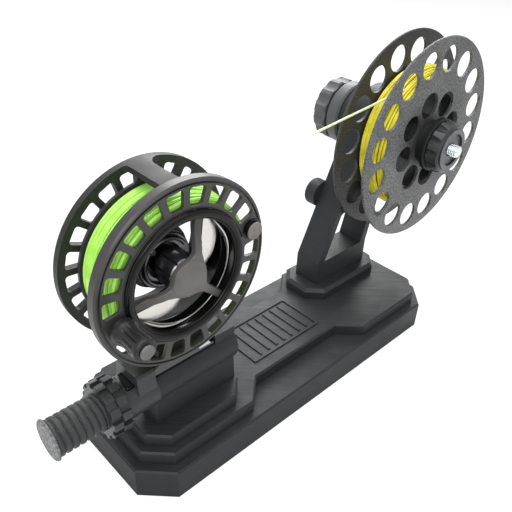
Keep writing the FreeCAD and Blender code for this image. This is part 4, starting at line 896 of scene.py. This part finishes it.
def handle():
    """The turned handle, waisted and fluted along its middle."""
    front = -52.2
    back = -34.2
    flutes = 12.0
    profile = [(2.1, back), (5.4, back), (6.1, back - 0.5), (6.3, back - 1.6), (6.15, back - 3.2),
               (5.5, back - 5.0), (5.1, back - 7.0), (5.0, back - 9.0), (5.1, back - 11.0),
               (5.3, back - 13.5), (5.5, back - 15.6), (5.55, front + 1.4), (5.55, front + 0.9),
               (5.3, front + 0.35), (4.8, front + 0.02), (4.0, front), (2.1, front)]
    fine = []
    for (r0, y0), (r1, y1) in zip(profile, profile[1:]):
        steps = max(1, int(abs(y1 - y0) / 0.6))
        for step in range(steps):
            fine.append((r0 + (r1 - r0) * step / steps, y0 + (y1 - y0) * step / steps))
    fine.append(profile[-1])

    def fluted(radius, angle, y):
        lobe = (angle / (2.0 * math.pi) * flutes) % 1.0
        groove = min(lobe, 1.0 - lobe) * 2.0 * math.pi * radius / flutes
        reach = smooth_step((back - 5.0 - y) / 1.5) * smooth_step((y - front - 2.2) / 1.5)
        return radius - 0.55 * reach * (1.0 - smooth_step(groove / 0.6))

    points, faces = lathe(HANDLE, fine, 144, fluted)
    piece("fluted_handle", points, faces, "handle_black", "handle", ["handle_knob"], 40.0)


seat_barrel()
axle_rod()
# Each layer of a winding is its turns, sweeps from side to side, lift, seed and wobble.
winding("green_winding", REEL, 30.5, -30.8, -5.3, 6.0, 1.8, 0.80, ("green_line", "green_painted_shade"), "reel",
        "green_line_winding", [(13, 1, -1.3, 1, 0.3), (12, 1, -0.2, 2, 1.2), (4, 2, 0.3, 3, 2.5)])
winding("yellow_winding", AXLE, 35.0, -18.3, 2.4, 7.5, 4.0, 0.72, ("yellow_line", "yellow_painted_shade"),
        "line_spool", "yellow_line_winding",
        [(11, 1, -1.1, 4, 0.3), (9, 1, -0.2, 5, 0.9), (5, 3, 0.3, 6, 1.5)])
spider()
blades()
hub_plate()
bowl_lining()
mouth_ring()
bowl_highlight_bead()
hub_core()
clutch()
counterweight()
handle()
pin_cap()


# ---------------------------------------------------------------- floor, light and world

def add_floor():
    """A pale floor that glows for the camera alone, and keeps the object's shadow."""
    mesh = bpy.data.meshes.new("floor")
    size = 6.0
    corners = [(-size, -size, 0.0), (size, -size, 0.0), (size, size, 0.0), (-size, size, 0.0)]
    mesh.from_pydata(corners, [], [(0, 1, 2, 3)])
    look = Look("floor_pale", Base_Color=(0.86, 0.86, 0.86, 1.0), Roughness=0.9, Specular_IOR_Level=0.0)
    glow = look.node("ShaderNodeEmission")
    glow.inputs["Color"].default_value = (1.0, 1.0, 1.0, 1.0)
    glow.inputs["Strength"].default_value = 1.10
    seen = look.node("ShaderNodeLightPath").outputs["Is Camera Ray"]
    mixed = look.node("ShaderNodeMixShader")
    look.link(look.math("MULTIPLY", seen, 0.80), mixed.inputs[0])
    look.link(look.shader.outputs["BSDF"], mixed.inputs[1])
    look.link(glow.outputs[0], mixed.inputs[2])
    look.link(mixed.outputs[0], look.output.inputs["Surface"])
    mesh.materials.append(look.material)
    floor = bpy.data.objects.new("floor", mesh)
    bpy.context.scene.collection.objects.link(floor)


def add_lamp(name, place, aim, width, height, power):
    data = bpy.data.lights.new(name, "AREA")
    data.shape = "RECTANGLE"
    data.size = width
    data.size_y = height
    data.energy = power
    lamp = bpy.data.objects.new(name, data)
    toward = (Vector(aim) - Vector(place)).normalized()
    turn = toward.to_track_quat("-Z", "Y").to_matrix().to_4x4()
    lamp.matrix_world = Matrix.Translation(Vector(place)) @ turn
    bpy.context.scene.collection.objects.link(lamp)
    lamp.visible_camera = False


def add_world():
    """White where the camera, metal and glass see it, and a softer fill on the object."""
    world = bpy.data.worlds.new("studio")
    world.use_nodes = True
    tree = world.node_tree
    tree.nodes.clear()
    output = tree.nodes.new("ShaderNodeOutputWorld")
    backdrop = tree.nodes.new("ShaderNodeBackground")
    backdrop.inputs["Color"].default_value = (1.0, 1.0, 1.0, 1.0)
    backdrop.inputs["Strength"].default_value = 1.0
    fill = tree.nodes.new("ShaderNodeBackground")
    fill.inputs["Strength"].default_value = 0.42
    path = tree.nodes.new("ShaderNodeLightPath")
    seen = path.outputs["Is Camera Ray"]
    for ray in ("Is Glossy Ray", "Is Transmission Ray"):
        most = tree.nodes.new("ShaderNodeMath")
        most.operation = "MAXIMUM"
        tree.links.new(seen, most.inputs[0])
        tree.links.new(path.outputs[ray], most.inputs[1])
        seen = most.outputs[0]
    mixed = tree.nodes.new("ShaderNodeMixShader")
    tree.links.new(seen, mixed.inputs[0])
    tree.links.new(fill.outputs[0], mixed.inputs[1])
    tree.links.new(backdrop.outputs[0], mixed.inputs[2])
    tree.links.new(mixed.outputs[0], output.inputs["Surface"])
    bpy.context.scene.world = world


add_floor()
add_world()
add_lamp("overhead", (0.0, 0.05, 1.0), (0.0, 0.0, 0.08), 0.9, 0.9, 8.0)
add_lamp("back_right", (0.66, 0.66, 0.66), (0.0, 0.0, 0.06), 0.8, 0.6, 12.0)
add_lamp("front_left", (-0.60, -0.55, 0.75), (0.05, 0.0, 0.12), 0.5, 0.5, 5.0)

bpy.context.scene.view_settings.view_transform = "Standard"
